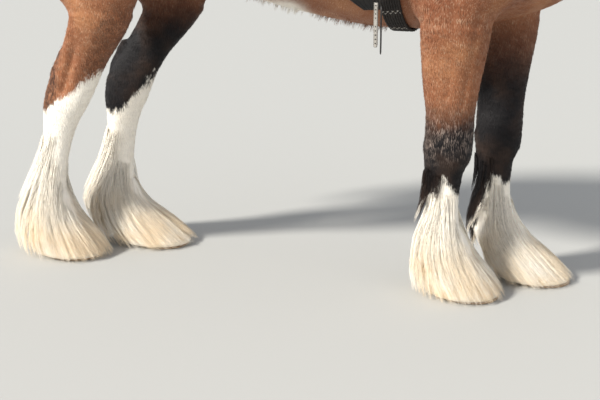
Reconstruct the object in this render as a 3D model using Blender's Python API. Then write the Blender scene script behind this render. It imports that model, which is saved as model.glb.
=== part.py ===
"""A clydesdale horse standing square and a little stretched, life size, as a still model.

X runs forward along the horse, Y to the horse's left and Z up, in metres. The flesh is
shaped whole from lofted sections and muscle forms, fused, and then parted by thin cuts
into the pieces that a person would name. Ears, eyes, hooves, tail and tack are made on
their own and fitted to it with a thin gap.
"""
import math
import random
from typing import NamedTuple

import bmesh
import bpy
import numpy as np
from mathutils import Matrix, Vector
from mathutils.bvhtree import BVHTree

# Driving dimensions
GAP = 0.0003
HEAD_LENGTH = 0.72
POLL = Vector((1.405, 0.0, 2.115))
FACE_SLOPE = math.radians(53.0)
CORE_VOXEL = 0.02
CORE_BLEND = 24
LEG_TOP = 0.90
LEG_ROOT = 0.76
VOXEL = 0.010
BLEND_STEPS = 9
FLESH_TRIANGLES = 3500
HEAD_VOXEL = 0.006
HEAD_BLEND = 12
HEAD_TRIANGLES = 1000
HEAD_CROP_X = 1.17
RING = 20
LEG_RING = 14
SIDES = {"right": -1.0, "left": 1.0}

# Finishes: colour, roughness, metallic
BAY_COAT = ("bay_coat", (0.32, 0.12, 0.045, 1.0), 0.62, 0.0)
BLACK_HAIR = ("black_hair", (0.022, 0.016, 0.014, 1.0), 0.55, 0.0)
BLACK_POINTS = ("black_points", (0.035, 0.024, 0.02, 1.0), 0.6, 0.0)
WHITE_FEATHER = ("white_feather", (0.82, 0.76, 0.64, 1.0), 0.75, 0.0)
HORN = ("hoof_horn", (0.42, 0.29, 0.17, 1.0), 0.5, 0.0)
EYE = ("eye", (0.03, 0.014, 0.008, 1.0), 0.08, 0.0)
BLACK_PAD = ("black_pad", (0.015, 0.015, 0.017, 1.0), 0.55, 0.0)
BLACK_STRAP = ("black_strap", (0.02, 0.018, 0.018, 1.0), 0.45, 0.0)
GREY_STRAP = ("grey_strap", (0.62, 0.6, 0.56, 1.0), 0.7, 0.0)
GIRTH_CORD = ("girth_cord", (0.05, 0.045, 0.042, 1.0), 0.85, 0.0)
STEEL = ("steel", (0.6, 0.6, 0.62, 1.0), 0.3, 1.0)


class TrunkSection(NamedTuple):
    """One upright section across the trunk."""

    x: float
    top: float
    bottom: float
    half_width: float
    widest: float
    roundness_above: float
    roundness_below: float


TRUNK = (
    TrunkSection(-0.955, 1.40, 1.26, 0.05, 1.34, 2.0, 2.0),
    TrunkSection(-0.91, 1.51, 1.16, 0.14, 1.36, 2.0, 2.0),
    TrunkSection(-0.82, 1.615, 1.07, 0.23, 1.38, 2.0, 2.0),
    TrunkSection(-0.65, 1.705, 1.03, 0.29, 1.40, 2.1, 2.0),
    TrunkSection(-0.45, 1.755, 1.02, 0.315, 1.40, 2.1, 2.0),
    TrunkSection(-0.28, 1.745, 1.012, 0.325, 1.36, 2.0, 2.0),
    TrunkSection(-0.10, 1.70, 0.958, 0.345, 1.29, 2.0, 2.1),
    TrunkSection(0.08, 1.672, 0.915, 0.355, 1.26, 2.0, 2.1),
    TrunkSection(0.25, 1.682, 0.884, 0.345, 1.25, 1.95, 2.1),
    TrunkSection(0.40, 1.73, 0.866, 0.315, 1.24, 1.75, 2.1),
    TrunkSection(0.52, 1.768, 0.866, 0.285, 1.24, 1.6, 2.1),
    TrunkSection(0.68, 1.755, 0.886, 0.26, 1.24, 1.6, 2.1),
    TrunkSection(0.85, 1.67, 0.925, 0.24, 1.24, 1.8, 2.1),
    TrunkSection(0.98, 1.52, 0.99, 0.20, 1.24, 2.0, 2.1),
    TrunkSection(1.055, 1.38, 1.10, 0.12, 1.24, 2.0, 2.0),
)


class NeckSection(NamedTuple):
    """One section of the neck, from its crest to its underside."""

    crest_x: float
    crest_z: float
    throat_x: float
    throat_z: float
    half_width: float


NECK = (
    NeckSection(0.44, 1.70, 0.98, 1.14, 0.20),
    NeckSection(0.60, 1.83, 1.06, 1.27, 0.22),
    NeckSection(0.78, 1.96, 1.12, 1.41, 0.195),
    NeckSection(0.97, 2.085, 1.17, 1.54, 0.165),
    NeckSection(1.15, 2.172, 1.22, 1.665, 0.145),
    NeckSection(1.30, 2.195, 1.27, 1.77, 0.128),
    NeckSection(1.405, 2.145, 1.345, 1.86, 0.094),
)


class HeadSection(NamedTuple):
    """One section across the head, measured down the face from the poll."""

    along: float
    face: float
    jaw: float
    half_width: float
    roundness: float


HEAD = (
    HeadSection(-0.07, -0.05, -0.21, 0.070, 2.0),
    HeadSection(-0.02, -0.006, -0.27, 0.092, 2.1),
    HeadSection(0.05, 0.012, -0.305, 0.110, 2.3),
    HeadSection(0.12, 0.021, -0.330, 0.117, 2.5),
    HeadSection(0.20, 0.022, -0.338, 0.114, 2.5),
    HeadSection(0.28, 0.018, -0.320, 0.101, 2.5),
    HeadSection(0.36, 0.016, -0.276, 0.087, 2.4),
    HeadSection(0.44, 0.017, -0.234, 0.077, 2.4),
    HeadSection(0.52, 0.014, -0.204, 0.071, 2.4),
    HeadSection(0.59, 0.007, -0.192, 0.071, 2.4),
    HeadSection(0.65, -0.010, -0.190, 0.070, 2.4),
    HeadSection(0.695, -0.038, -0.172, 0.058, 2.3),
    HeadSection(HEAD_LENGTH, -0.072, -0.145, 0.034, 2.0),
)


class LegSection(NamedTuple):
    """One level section of a leg, about the line through its joints."""

    height: float
    ahead: float
    behind: float
    outward: float
    inward: float


FORE_LEG = (
    LegSection(1.20, 0.155, 0.150, 0.105, 0.10),
    LegSection(1.06, 0.135, 0.140, 0.100, 0.09),
    LegSection(0.93, 0.119, 0.120, 0.088, 0.082),
    LegSection(0.82, 0.108, 0.108, 0.077, 0.072),
    LegSection(0.70, 0.092, 0.094, 0.066, 0.062),
    LegSection(0.60, 0.083, 0.080, 0.061, 0.060),
    LegSection(0.53, 0.083, 0.080, 0.067, 0.067),
    LegSection(0.47, 0.080, 0.080, 0.065, 0.065),
    LegSection(0.41, 0.055, 0.074, 0.050, 0.050),
    LegSection(0.31, 0.046, 0.066, 0.043, 0.043),
    LegSection(0.24, 0.052, 0.070, 0.049, 0.049),
    LegSection(0.19, 0.064, 0.076, 0.058, 0.058),
    LegSection(0.14, 0.060, 0.060, 0.052, 0.052),
    LegSection(0.09, 0.070, 0.062, 0.068, 0.068),
    LegSection(0.055, 0.078, 0.066, 0.072, 0.072),
)

HIND_LEG = (
    LegSection(1.24, 0.21, 0.20, 0.120, 0.10),
    LegSection(1.10, 0.180, 0.185, 0.115, 0.095),
    LegSection(1.00, 0.150, 0.152, 0.098, 0.088),
    LegSection(0.93, 0.126, 0.126, 0.080, 0.074),
    LegSection(0.82, 0.110, 0.112, 0.068, 0.064),
    LegSection(0.72, 0.092, 0.104, 0.058, 0.056),
    LegSection(0.645, 0.090, 0.106, 0.058, 0.058),
    LegSection(0.57, 0.084, 0.094, 0.061, 0.061),
    LegSection(0.50, 0.066, 0.072, 0.052, 0.052),
    LegSection(0.42, 0.052, 0.062, 0.042, 0.042),
    LegSection(0.32, 0.048, 0.060, 0.041, 0.041),
    LegSection(0.25, 0.052, 0.068, 0.047, 0.047),
    LegSection(0.20, 0.062, 0.076, 0.056, 0.056),
    LegSection(0.145, 0.060, 0.060, 0.052, 0.052),
    LegSection(0.09, 0.070, 0.062, 0.068, 0.068),
    LegSection(0.055, 0.078, 0.066, 0.072, 0.072),
)


class LegPose(NamedTuple):
    """Where one leg's joints stand, seen from the side, and how far out it is."""

    heights: tuple
    xs: tuple
    ys: tuple
    toe_out: float


LEG_POSES = {
    ("fore", "right"): LegPose(
        (1.20, 0.98, 0.50, 0.20, 0.0),
        (0.70, 0.655, 0.618, 0.610, 0.70),
        (0.215, 0.205, 0.13, 0.12, 0.12),
        10.0,
    ),
    ("fore", "left"): LegPose(
        (1.20, 0.98, 0.50, 0.20, 0.0),
        (0.75, 0.738, 0.735, 0.748, 0.905),
        (0.215, 0.205, 0.14, 0.13, 0.13),
        4.0,
    ),
    ("hind", "right"): LegPose(
        (1.24, 0.98, 0.62, 0.48, 0.20, 0.0),
        (-0.56, -0.575, -0.762, -0.818, -0.865, -0.785),
        (0.20, 0.195, 0.12, 0.118, 0.115, 0.115),
        8.0,
    ),
    ("hind", "left"): LegPose(
        (1.24, 0.98, 0.62, 0.48, 0.20, 0.0),
        (-0.54, -0.475, -0.652, -0.688, -0.708, -0.54),
        (0.20, 0.195, 0.13, 0.13, 0.13, 0.13),
        6.0,
    ),
}

# How far the feather reaches from the leg's middle line at each height: ahead, behind, to the side
FEATHER_REACH = {
    "fore": (
        (0.44, 0.056, 0.070, 0.048),
        (0.36, 0.058, 0.080, 0.050),
        (0.27, 0.080, 0.096, 0.066),
        (0.17, 0.105, 0.122, 0.092),
        (0.09, 0.121, 0.162, 0.125),
        (0.0, 0.130, 0.195, 0.140),
    ),
    "hind": (
        (0.52, 0.056, 0.070, 0.046),
        (0.38, 0.058, 0.090, 0.048),
        (0.28, 0.076, 0.122, 0.064),
        (0.17, 0.100, 0.175, 0.092),
        (0.09, 0.136, 0.212, 0.128),
        (0.0, 0.156, 0.225, 0.145),
    ),
}


def monotone_curve(knots, values, where):
    """Smooth curve through the named stations that makes no bump between them."""
    knots = np.asarray(knots, float)
    values = np.asarray(values, float)
    if knots[0] > knots[-1]:
        knots = knots[::-1]
        values = values[::-1]
    steps = np.diff(knots)
    rises = np.diff(values) / steps
    slopes = np.zeros(len(knots))
    slopes[0] = rises[0]
    slopes[-1] = rises[-1]
    for i in range(1, len(knots) - 1):
        if rises[i - 1] * rises[i] > 0:
            slopes[i] = 2 * rises[i - 1] * rises[i] / (rises[i - 1] + rises[i])
    where = np.clip(where, knots[0], knots[-1])
    i = np.clip(np.searchsorted(knots, where) - 1, 0, len(steps) - 1)
    t = (where - knots[i]) / steps[i]
    from_value = values[i] * (2 * t**3 - 3 * t**2 + 1) + values[i + 1] * (3 * t**2 - 2 * t**3)
    from_slope = slopes[i] * (t**3 - 2 * t**2 + t) + slopes[i + 1] * (t**3 - t**2)
    return from_value + from_slope * steps[i]


def new_object(name, bm, finish=None):
    """Turns a bmesh into a named object of triangles that point out."""
    bmesh.ops.recalc_face_normals(bm, faces=bm.faces)
    bmesh.ops.triangulate(bm, faces=bm.faces)
    mesh = bpy.data.meshes.new(name)
    bm.to_mesh(mesh)
    bm.free()
    obj = bpy.data.objects.new(name, mesh)
    bpy.context.collection.objects.link(obj)
    if finish:
        dress(obj, finish)
    return obj


def dress(obj, finish):
    """Gives an object its finish."""
    name, colour, roughness, metallic = finish
    material = bpy.data.materials.get(name) or bpy.data.materials.new(name)
    material.use_nodes = True
    shader = material.node_tree.nodes["Principled BSDF"]
    shader.inputs["Base Color"].default_value = colour
    shader.inputs["Roughness"].default_value = roughness
    shader.inputs["Metallic"].default_value = metallic
    obj.data.materials.clear()
    obj.data.materials.append(material)


def apply_modifiers(obj):
    """Makes what the modifiers show the object's own mesh."""
    depsgraph = bpy.context.evaluated_depsgraph_get()
    mesh = bpy.data.meshes.new_from_object(obj.evaluated_get(depsgraph))
    obj.modifiers.clear()
    obj.data = mesh


def remove(objects):
    """Removes objects that have done their work."""
    for obj in list(objects):
        bpy.data.objects.remove(obj)


def superellipse(centre, first, second, reach_first, reach_second, roundness, count):
    """Closed ring about a centre, with its own reach each way along two axes."""
    ring = []
    for i in range(count):
        angle = 2 * math.pi * i / count
        c = math.cos(angle)
        s = math.sin(angle)
        a = math.copysign(abs(c) ** (2 / roundness), c) * reach_first[c < 0]
        b = math.copysign(abs(s) ** (2 / roundness), s) * reach_second[s < 0]
        ring.append(centre + first * a + second * b)
    return ring


def loft(name, rings, finish=None):
    """Closed skin through a row of rings, capped at both ends."""
    bm = bmesh.new()
    rows = [[bm.verts.new(point) for point in ring] for ring in rings]
    count = len(rows[0])
    for row, following in zip(rows, rows[1:]):
        for i in range(count):
            j = (i + 1) % count
            bm.faces.new((row[i], row[j], following[j], following[i]))
    bm.faces.new(rows[0][::-1])
    bm.faces.new(rows[-1])
    return new_object(name, bm, finish)


def ellipsoid(name, centre, radii, tilt=0.0, segments=16):
    """Muscle form: an ellipsoid, tilted nose-down about the Y axis."""
    bm = bmesh.new()
    bmesh.ops.create_uvsphere(bm, u_segments=segments, v_segments=segments // 2, radius=1.0)
    matrix = Matrix.Translation(centre) @ Matrix.Rotation(tilt, 4, "Y") @ Matrix.Diagonal((*radii, 1.0))
    bmesh.ops.transform(bm, matrix=matrix, verts=bm.verts)
    return new_object(name, bm)


def limb(name, start, end, start_radius, end_radius, flatness=1.0, steps=6):
    """Muscle or bone form: a tapering bar with round ends, narrowed across Y by flatness."""
    start = Vector(start)
    end = Vector(end)
    axis = (end - start).normalized()
    across = Vector((0, 1, 0)) - axis * axis.y
    across.normalize()
    upward = axis.cross(across)
    rings = []
    for i in range(steps + 1):
        angle = math.pi * (1 - i / steps) / 2
        centre = start - axis * start_radius * math.sin(angle) * 0.98
        rings.append((centre, start_radius * math.cos(angle) + 0.001))
    for i in range(steps + 1):
        angle = math.pi * (i / steps) / 2
        centre = end + axis * end_radius * math.sin(angle) * 0.98
        rings.append((centre, end_radius * math.cos(angle) + 0.001))
    skins = []
    for centre, radius in rings:
        reach = (radius * flatness, radius * flatness)
        skins.append(superellipse(centre, across, upward, reach, (radius, radius), 2.0, 12))
    return loft(name, skins)


def trunk_ring(x):
    """Section of the trunk at x."""
    columns = np.array(TRUNK)
    top, bottom, half_width, widest, above, below = (
        float(monotone_curve(columns[:, 0], columns[:, i], x)) for i in range(1, 7)
    )
    ring = []
    for i in range(RING):
        angle = 2 * math.pi * i / RING
        c = math.cos(angle)
        s = math.sin(angle)
        power = 2 / (above if s > 0 else below)
        y = math.copysign(abs(c) ** power, c) * half_width
        z = widest + (abs(s) ** power * (top - widest) if s > 0 else -(abs(s) ** power) * (widest - bottom))
        ring.append(Vector((x, y, z)))
    return ring


def trunk_form():
    """Barrel, loins, croup and breast in one lofted form."""
    xs = np.linspace(TRUNK[0].x, TRUNK[-1].x, 44)
    return loft("trunk", [trunk_ring(x) for x in xs])


def neck_form():
    """Neck from the withers and breast to the poll, narrow at its crest."""
    columns = np.array(NECK)
    rings = []
    for t in np.linspace(0, len(NECK) - 1, 20):
        at = np.arange(len(NECK))
        crest_x, crest_z, throat_x, throat_z, half_width = (
            float(monotone_curve(at, columns[:, i], t)) for i in range(5)
        )
        crest = Vector((crest_x, 0, crest_z))
        throat = Vector((throat_x, 0, throat_z))
        upward = (crest - throat).normalized()
        depth = (crest - throat).length
        centre = throat + upward * depth * 0.42
        rings.append(
            superellipse(
                centre,
                Vector((0, 1, 0)),
                upward,
                (half_width, half_width),
                (depth * 0.58, depth * 0.42),
                1.85,
                RING,
            )
        )
    return loft("neck", rings)


FACE_DOWN = Vector((math.cos(FACE_SLOPE), 0, -math.sin(FACE_SLOPE)))
FACE_OUT = Vector((math.sin(FACE_SLOPE), 0, math.cos(FACE_SLOPE)))
HEAD_FRAME = Matrix.Translation(POLL) @ Matrix(
    (
        (FACE_DOWN.x, 0, FACE_OUT.x, 0),
        (0, 1, 0, 0),
        (FACE_DOWN.z, 0, FACE_OUT.z, 0),
        (0, 0, 0, 1),
    )
)


def on_head(along, side, out):
    """Place on the head: down the face from the poll, to the left, and out of the face."""
    return HEAD_FRAME @ Vector((along, side, out))


def head_loft():
    """Head's main form, from behind the poll to the lips."""
    columns = np.array(HEAD)
    rings = []
    for along in np.linspace(HEAD[0].along, HEAD[-1].along, 26):
        face, jaw, half_width, roundness = (
            float(monotone_curve(columns[:, 0], columns[:, i], along)) for i in range(1, 5)
        )
        middle = face + (jaw - face) * 0.45
        rings.append(
            superellipse(
                on_head(along, 0, middle),
                Vector((0, 1, 0)),
                FACE_OUT,
                (half_width, half_width),
                (face - middle, middle - jaw),
                roundness,
                RING,
            )
        )
    return loft("skull", rings)


def head_ellipsoid(name, along, side, out, radii):
    """Form on the head, laid along the face."""
    return ellipsoid(name, on_head(along, side, out), radii, tilt=FACE_SLOPE, segments=16)


EYE_ALONG = 0.222
EYE_SIDE = 0.089
EYE_OUT = -0.088
EYE_RADIUS = 0.026


def head_forms():
    """Skull loft with cheeks, brows, facial crests, nostril rims, lips and chin."""
    forms = [head_loft()]
    forms.append(head_ellipsoid("upper_lip", 0.655, 0, -0.098, (0.047, 0.054, 0.045)))
    forms.append(head_ellipsoid("chin", 0.622, 0, -0.158, (0.046, 0.040, 0.026)))
    for side in SIDES.values():
        forms.append(head_ellipsoid("cheek", 0.165, side * 0.064, -0.205, (0.128, 0.056, 0.112)))
        forms.append(head_ellipsoid("brow", EYE_ALONG - 0.012, side * 0.090, -0.060, (0.056, 0.030, 0.026)))
        forms.append(head_ellipsoid("orbit", EYE_ALONG + 0.004, side * 0.084, -0.090, (0.052, 0.030, 0.044)))
        forms.append(head_ellipsoid("nostril_rim", 0.630, side * 0.047, -0.064, (0.046, 0.027, 0.042)))
        forms.append(
            limb(
                "facial_crest",
                on_head(0.26, side * 0.087, -0.132),
                on_head(0.45, side * 0.067, -0.114),
                0.023,
                0.014,
            )
        )
        forms.append(head_ellipsoid("temple", 0.09, side * 0.058, -0.062, (0.11, 0.050, 0.064)))
    return forms


def shoulder_forms(side_name):
    """Shoulder blade, point of shoulder, upper arm, elbow and breast muscle on one side."""
    side = SIDES[side_name]
    elbow = LEG_POSES["fore", side_name].xs[1]
    point = Vector((0.945, side * 0.175, 1.23))
    arm_end = Vector((elbow + 0.02, side * 0.20, 1.03))
    return [
        limb("shoulder_blade", (0.60, side * 0.105, 1.58), point, 0.13, 0.155, 0.85),
        limb("upper_arm", point, arm_end, 0.15, 0.135, 0.8),
        limb("triceps", (elbow - 0.08, side * 0.165, 1.38), arm_end, 0.17, 0.13, 0.8),
        ellipsoid("breast", (0.965, side * 0.10, 1.15), (0.12, 0.11, 0.15)),
    ]


def quarter_forms(side_name):
    """Rump, point of hip, thigh, buttock and stifle on one side."""
    side = SIDES[side_name]
    knee = LEG_POSES["hind", side_name].xs[1]
    return [
        limb("rump", (-0.38, side * 0.15, 1.55), (-0.76, side * 0.13, 1.47), 0.18, 0.15, 0.95),
        ellipsoid("hip_point", (-0.34, side * 0.215, 1.50), (0.15, 0.10, 0.14)),
        limb("thigh", (-0.56, side * 0.17, 1.40), (knee - 0.02, side * 0.185, 1.08), 0.22, 0.165, 0.75),
        limb("buttock", (-0.815, side * 0.12, 1.42), (knee - 0.115, side * 0.175, 1.00), 0.135, 0.095, 0.9),
        ellipsoid("stifle", (knee + 0.10, side * 0.215, 1.11), (0.11, 0.09, 0.14)),
    ]


def leg_axis(pose, side, height):
    """Where the line through the leg's joints is at one height."""
    x = float(monotone_curve(pose.heights, pose.xs, height))
    y = float(monotone_curve(pose.heights, pose.ys, height))
    return Vector((x, side * y, height))


def turned(vector, degrees):
    """A level vector turned about Z."""
    return Matrix.Rotation(math.radians(degrees), 3, "Z") @ vector


def leg_form(which, side_name, top, bottom, count):
    """One leg, or a length of it, between two heights."""
    side = SIDES[side_name]
    pose = LEG_POSES[which, side_name]
    table = np.array(FORE_LEG if which == "fore" else HIND_LEG)
    rings = []
    for height in np.linspace(top, bottom, count):
        ahead, behind, outward, inward = (
            float(monotone_curve(table[:, 0], table[:, i], height)) for i in range(1, 5)
        )
        turn = side * pose.toe_out * min(1.0, max(0.0, (0.5 - height) / 0.3))
        forward = turned(Vector((1, 0, 0)), turn)
        sideways = turned(Vector((0, side, 0)), turn)
        centre = leg_axis(pose, side, height)
        rings.append(superellipse(centre, forward, sideways, (ahead, behind), (outward, inward), 2.15, LEG_RING))
    return loft("leg", rings)


def fuse(name, forms, voxel, blend_steps):
    """Joins overlapping forms into one smooth skin."""
    bm = bmesh.new()
    for form in forms:
        bm.from_mesh(form.data)
    remove(forms)
    obj = new_object(name, bm)
    remesh = obj.modifiers.new("join", "REMESH")
    remesh.mode = "VOXEL"
    remesh.voxel_size = voxel
    blend = obj.modifiers.new("blend", "SMOOTH")
    blend.factor = 0.5
    blend.iterations = blend_steps
    apply_modifiers(obj)
    return obj


def triangle_count(obj):
    """How many triangles the object's mesh comes to."""
    return sum(len(face.vertices) - 2 for face in obj.data.polygons)


def thin_to(obj, triangles):
    """Brings a dense skin down to about so many triangles, fewest where it is flat."""
    thin = obj.modifiers.new("thin", "DECIMATE")
    thin.ratio = triangles / triangle_count(obj)
    apply_modifiers(obj)


def crop(obj, x):
    """Keeps what is ahead of x, closed with a flat face."""
    bm = bmesh.new()
    bm.from_mesh(obj.data)
    every = bm.verts[:] + bm.edges[:] + bm.faces[:]
    cut = bmesh.ops.bisect_plane(bm, geom=every, plane_co=(x, 0, 0), plane_no=(1, 0, 0), clear_inner=True)
    bmesh.ops.holes_fill(bm, edges=[item for item in cut["geom_cut"] if isinstance(item, bmesh.types.BMEdge)])
    bmesh.ops.triangulate(bm, faces=bm.faces)
    bm.to_mesh(obj.data)
    bm.free()


def body_form():
    """Whole flesh of the horse without ears and tail, and its head again with more detail."""
    masses = [trunk_form(), neck_form()]
    legs = []
    for side_name in SIDES:
        masses += shoulder_forms(side_name) + quarter_forms(side_name)
        for which, table in (("fore", FORE_LEG), ("hind", HIND_LEG)):
            masses.append(leg_form(which, side_name, table[0].height, LEG_ROOT, 16))
            legs.append(leg_form(which, side_name, LEG_TOP, table[-1].height, 30))
    core = fuse("core", masses, CORE_VOXEL, CORE_BLEND)
    crown = fuse("crown", [copy_of(core, "core_copy")] + head_forms(), HEAD_VOXEL, HEAD_BLEND)
    crop(crown, HEAD_CROP_X)
    thin_to(crown, HEAD_TRIANGLES)
    body = fuse("flesh", [core] + head_forms() + legs, VOXEL, BLEND_STEPS)
    thin_to(body, FLESH_TRIANGLES)
    return body, crown


def combine(obj, others, operation, solver="EXACT"):
    """Cuts or joins an object with a collection of closed objects, then removes those."""
    tools = bpy.data.collections.new("tools")
    for other in others:
        tools.objects.link(other)
    boolean = obj.modifiers.new("combine", "BOOLEAN")
    boolean.operation = operation
    boolean.operand_type = "COLLECTION"
    boolean.collection = tools
    boolean.solver = solver
    apply_modifiers(obj)
    remove(others)
    bpy.data.collections.remove(tools)


def shells(obj):
    """Closed surfaces of an object's mesh, as lists of face numbers, largest first."""
    bm = bmesh.new()
    bm.from_mesh(obj.data)
    bm.faces.ensure_lookup_table()
    seen = set()
    found = []
    for start in bm.faces:
        if start.index in seen:
            continue
        seen.add(start.index)
        shell = [start.index]
        front = [start]
        while front:
            for edge in front.pop().edges:
                for face in edge.link_faces:
                    if face.index not in seen:
                        seen.add(face.index)
                        shell.append(face.index)
                        front.append(face)
        found.append(shell)
    bm.free()
    return sorted(found, key=len, reverse=True)


def keep_faces(obj, kept):
    """Keeps only the faces with these numbers."""
    kept = set(kept)
    bm = bmesh.new()
    bm.from_mesh(obj.data)
    bmesh.ops.delete(bm, geom=[face for face in bm.faces if face.index not in kept], context="FACES")
    bm.to_mesh(obj.data)
    bm.free()


def keep_largest(obj):
    """Keeps an object's largest closed surface, which fills hollows and drops scraps."""
    keep_faces(obj, shells(obj)[0])


def copy_of(obj, name):
    """A separate copy of an object."""
    copy = obj.copy()
    copy.data = obj.data.copy()
    copy.name = name
    bpy.context.collection.objects.link(copy)
    return copy


def grown(obj, amount):
    """A copy of an object, larger by an amount all round."""
    copy = copy_of(obj, "grown")
    swell = copy.modifiers.new("swell", "DISPLACE")
    swell.strength = amount
    swell.mid_level = 0.0
    apply_modifiers(copy)
    return copy


def cut_clear(obj, others, solver="EXACT"):
    """Cuts an object clear of its neighbours, so that it meets them face to face."""
    for other in others:
        for swell in (1.5, 0.5):
            combine(obj, [grown(other, GAP * swell)], "DIFFERENCE", solver)
    keep_largest(obj)


def thin_cut(point, normal, width, depth):
    """Cutter: a plate as thin as the gap, centred on a point, square to a normal."""
    normal = Vector(normal).normalized()
    bm = bmesh.new()
    bmesh.ops.create_cube(bm, size=1.0)
    turn = normal.to_track_quat("Z", "Y").to_matrix().to_4x4()
    matrix = Matrix.Translation(point) @ turn @ Matrix.Diagonal((width, depth, GAP, 1.0))
    bmesh.ops.transform(bm, matrix=matrix, verts=bm.verts)
    cutter = new_object("thin_cut", bm)
    cutter.hide_render = True
    cutter.display_type = "WIRE"
    return cutter


# Where the flesh is parted
HEAD_CUT = (Vector((1.345, 0, 2.14)), Vector((1.285, 0, 1.83)))
NECK_CUT = (Vector((0.64, 0, 1.87)), Vector((1.07, 0, 1.31)))
GIRTH_CUT_X = 0.34
LOIN_CUT_X = -0.24
LEG_CUTS = {"fore": (0.855, 0.435), "hind": (0.955, 0.53)}
CORONET_HEIGHT = 0.072
CORONET_SLOPE = math.radians(18.0)
UPPER_LEG = {"fore": "forearm", "hind": "gaskin"}


def slanted_normal(upper, lower):
    """Normal of a cut across the neck that passes through two points of its outline."""
    return (upper - lower).normalized().cross(Vector((0, 1, 0)))


def coronet_normal(pose, side):
    """Normal of the sloping line where hair gives way to hoof."""
    return turned(Vector((-math.sin(CORONET_SLOPE), 0, math.cos(CORONET_SLOPE))), side * pose.toe_out)


def flesh_cutters():
    """Thin cuts between head, neck, shoulders, barrel, quarters and the lengths of the legs."""
    cutters = []
    for upper, lower in (HEAD_CUT, NECK_CUT):
        cutters.append(thin_cut((upper + lower) / 2, slanted_normal(upper, lower), 1.3, 1.3))
    for x in (GIRTH_CUT_X, LOIN_CUT_X):
        cutters.append(thin_cut((x, 0, 1.3), (1, 0, 0), 1.3, 1.3))
    for (which, side_name), pose in LEG_POSES.items():
        side = SIDES[side_name]
        for height in LEG_CUTS[which]:
            cutters.append(thin_cut(leg_axis(pose, side, height), (0, 0, 1), 0.5, 0.24))
        coronet = leg_axis(pose, side, CORONET_HEIGHT)
        cutters.append(thin_cut(coronet, coronet_normal(pose, side), 0.24, 0.24))
    return cutters


def flesh_places():
    """A point near the middle of each piece of flesh. The stubs below the coronets are dropped."""
    places = {
        "head": Vector((1.55, 0, 1.87)),
        "neck": Vector((1.08, 0, 1.80)),
        "shoulders": Vector((0.68, 0, 1.35)),
        "barrel": Vector((0.05, 0, 1.30)),
        "quarters": Vector((-0.60, 0, 1.38)),
    }
    for (which, side_name), pose in LEG_POSES.items():
        side = SIDES[side_name]
        top, low = LEG_CUTS[which]
        places[f"{side_name}_{UPPER_LEG[which]}"] = leg_axis(pose, side, (top + low) / 2)
        places[f"{side_name}_{which}_cannon"] = leg_axis(pose, side, low * 0.55)
        places[f"{side_name}_{which}_stub"] = leg_axis(pose, side, CORONET_HEIGHT * 0.8)
    return places


def part_flesh(body):
    """Parts the body by its thin cuts, and names each piece by the place it is nearest."""
    combine(body, flesh_cutters(), "DIFFERENCE")
    places = flesh_places()
    pieces = {}
    for shell in shells(body):
        piece = copy_of(body, "piece")
        keep_faces(piece, shell)
        low = Vector([min(v.co[i] for v in piece.data.vertices) for i in range(3)])
        high = Vector([max(v.co[i] for v in piece.data.vertices) for i in range(3)])
        middle = (low + high) / 2
        name = min(places, key=lambda key: (places[key] - middle).length)
        places.pop(name)
        piece.name = name
        piece.data.name = name
        pieces[name] = piece
    dropped = [name for name in pieces if name.endswith("_stub") or name == "head"]
    remove([body] + [pieces.pop(name) for name in dropped])
    return pieces


def head_piece(crown):
    """Head, from the finer skin, parted from the neck by the same cut."""
    upper, lower = HEAD_CUT
    normal = slanted_normal(upper, lower)
    normal *= math.copysign(1.0, normal.x)
    behind = thin_cut((upper + lower) / 2, normal, 1.3, 1.3)
    behind.data.transform(Matrix.Translation(-(upper + lower) / 2))
    for vertex in behind.data.vertices:
        depth = vertex.co.dot(normal)
        vertex.co -= normal * (0.4 if depth < 0 else 0.0)
    behind.data.transform(Matrix.Translation((upper + lower) / 2))
    combine(crown, [behind], "DIFFERENCE")
    keep_largest(crown)
    crown.name = "head"
    crown.data.name = "head"
    return crown


class Hide:
    """The body's surface, for laying hair and tack on it."""

    def __init__(self, body):
        """Reads the surface of the whole body."""
        mesh = body.data
        mesh.calc_loop_triangles()
        corners = [tuple(v.co) for v in mesh.vertices]
        faces = [tuple(t.vertices) for t in mesh.loop_triangles]
        self.tree = BVHTree.FromPolygons(corners, faces)

    def round_barrel(self, x, angle, off):
        """Point off the barrel at x, turned by an angle about its middle from straight up."""
        middle = Vector((x, 0, BARREL_MIDDLE))
        outward = Vector((0, math.sin(angle), math.cos(angle)))
        hit, normal = self.tree.ray_cast(middle + outward * 0.9, -outward)[:2]
        return hit + normal * off

    def on_side(self, x, z, side, off):
        """Point off one side of the body."""
        hit, normal = self.tree.ray_cast(Vector((x, side * 0.9, z)), Vector((0, -side, 0)))[:2]
        if hit is None:
            return None
        return hit + normal * off

    def on_face(self, along, across, off):
        """Point off the front of the face."""
        start = on_head(along, across, 0.3)
        hit, normal = self.tree.ray_cast(start, -FACE_OUT)[:2]
        return hit + normal * off


BARREL_MIDDLE = 1.30


def hoof(which, side_name):
    """Hoof wall with a flat sole, up to its sloping coronet."""
    side = SIDES[side_name]
    pose = LEG_POSES[which, side_name]
    forward = turned(Vector((1, 0, 0)), side * pose.toe_out)
    sideways = turned(Vector((0, side, 0)), side * pose.toe_out)
    normal = coronet_normal(pose, side)
    top_middle = leg_axis(pose, side, CORONET_HEIGHT)
    sole_middle = leg_axis(pose, side, 0.0)
    sole = superellipse(sole_middle, forward, sideways, (0.100, 0.084), (0.092, 0.092), 2.2, HOOF_SIDES)
    rim = superellipse(top_middle, forward, sideways, (0.076, 0.064), (0.070, 0.070), 2.15, HOOF_SIDES)
    top = []
    for point in rim:
        point.z = top_middle.z - ((point - top_middle).dot(normal)) / normal.z - GAP
        top.append(point)
    middle = [low.lerp(high, 0.5) + (low - sole_middle).normalized() * 0.002 for low, high in zip(sole, top)]
    return loft(f"{side_name}_{which}_hoof", [sole, middle, top], HORN)


HOOF_SIDES = 18


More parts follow.
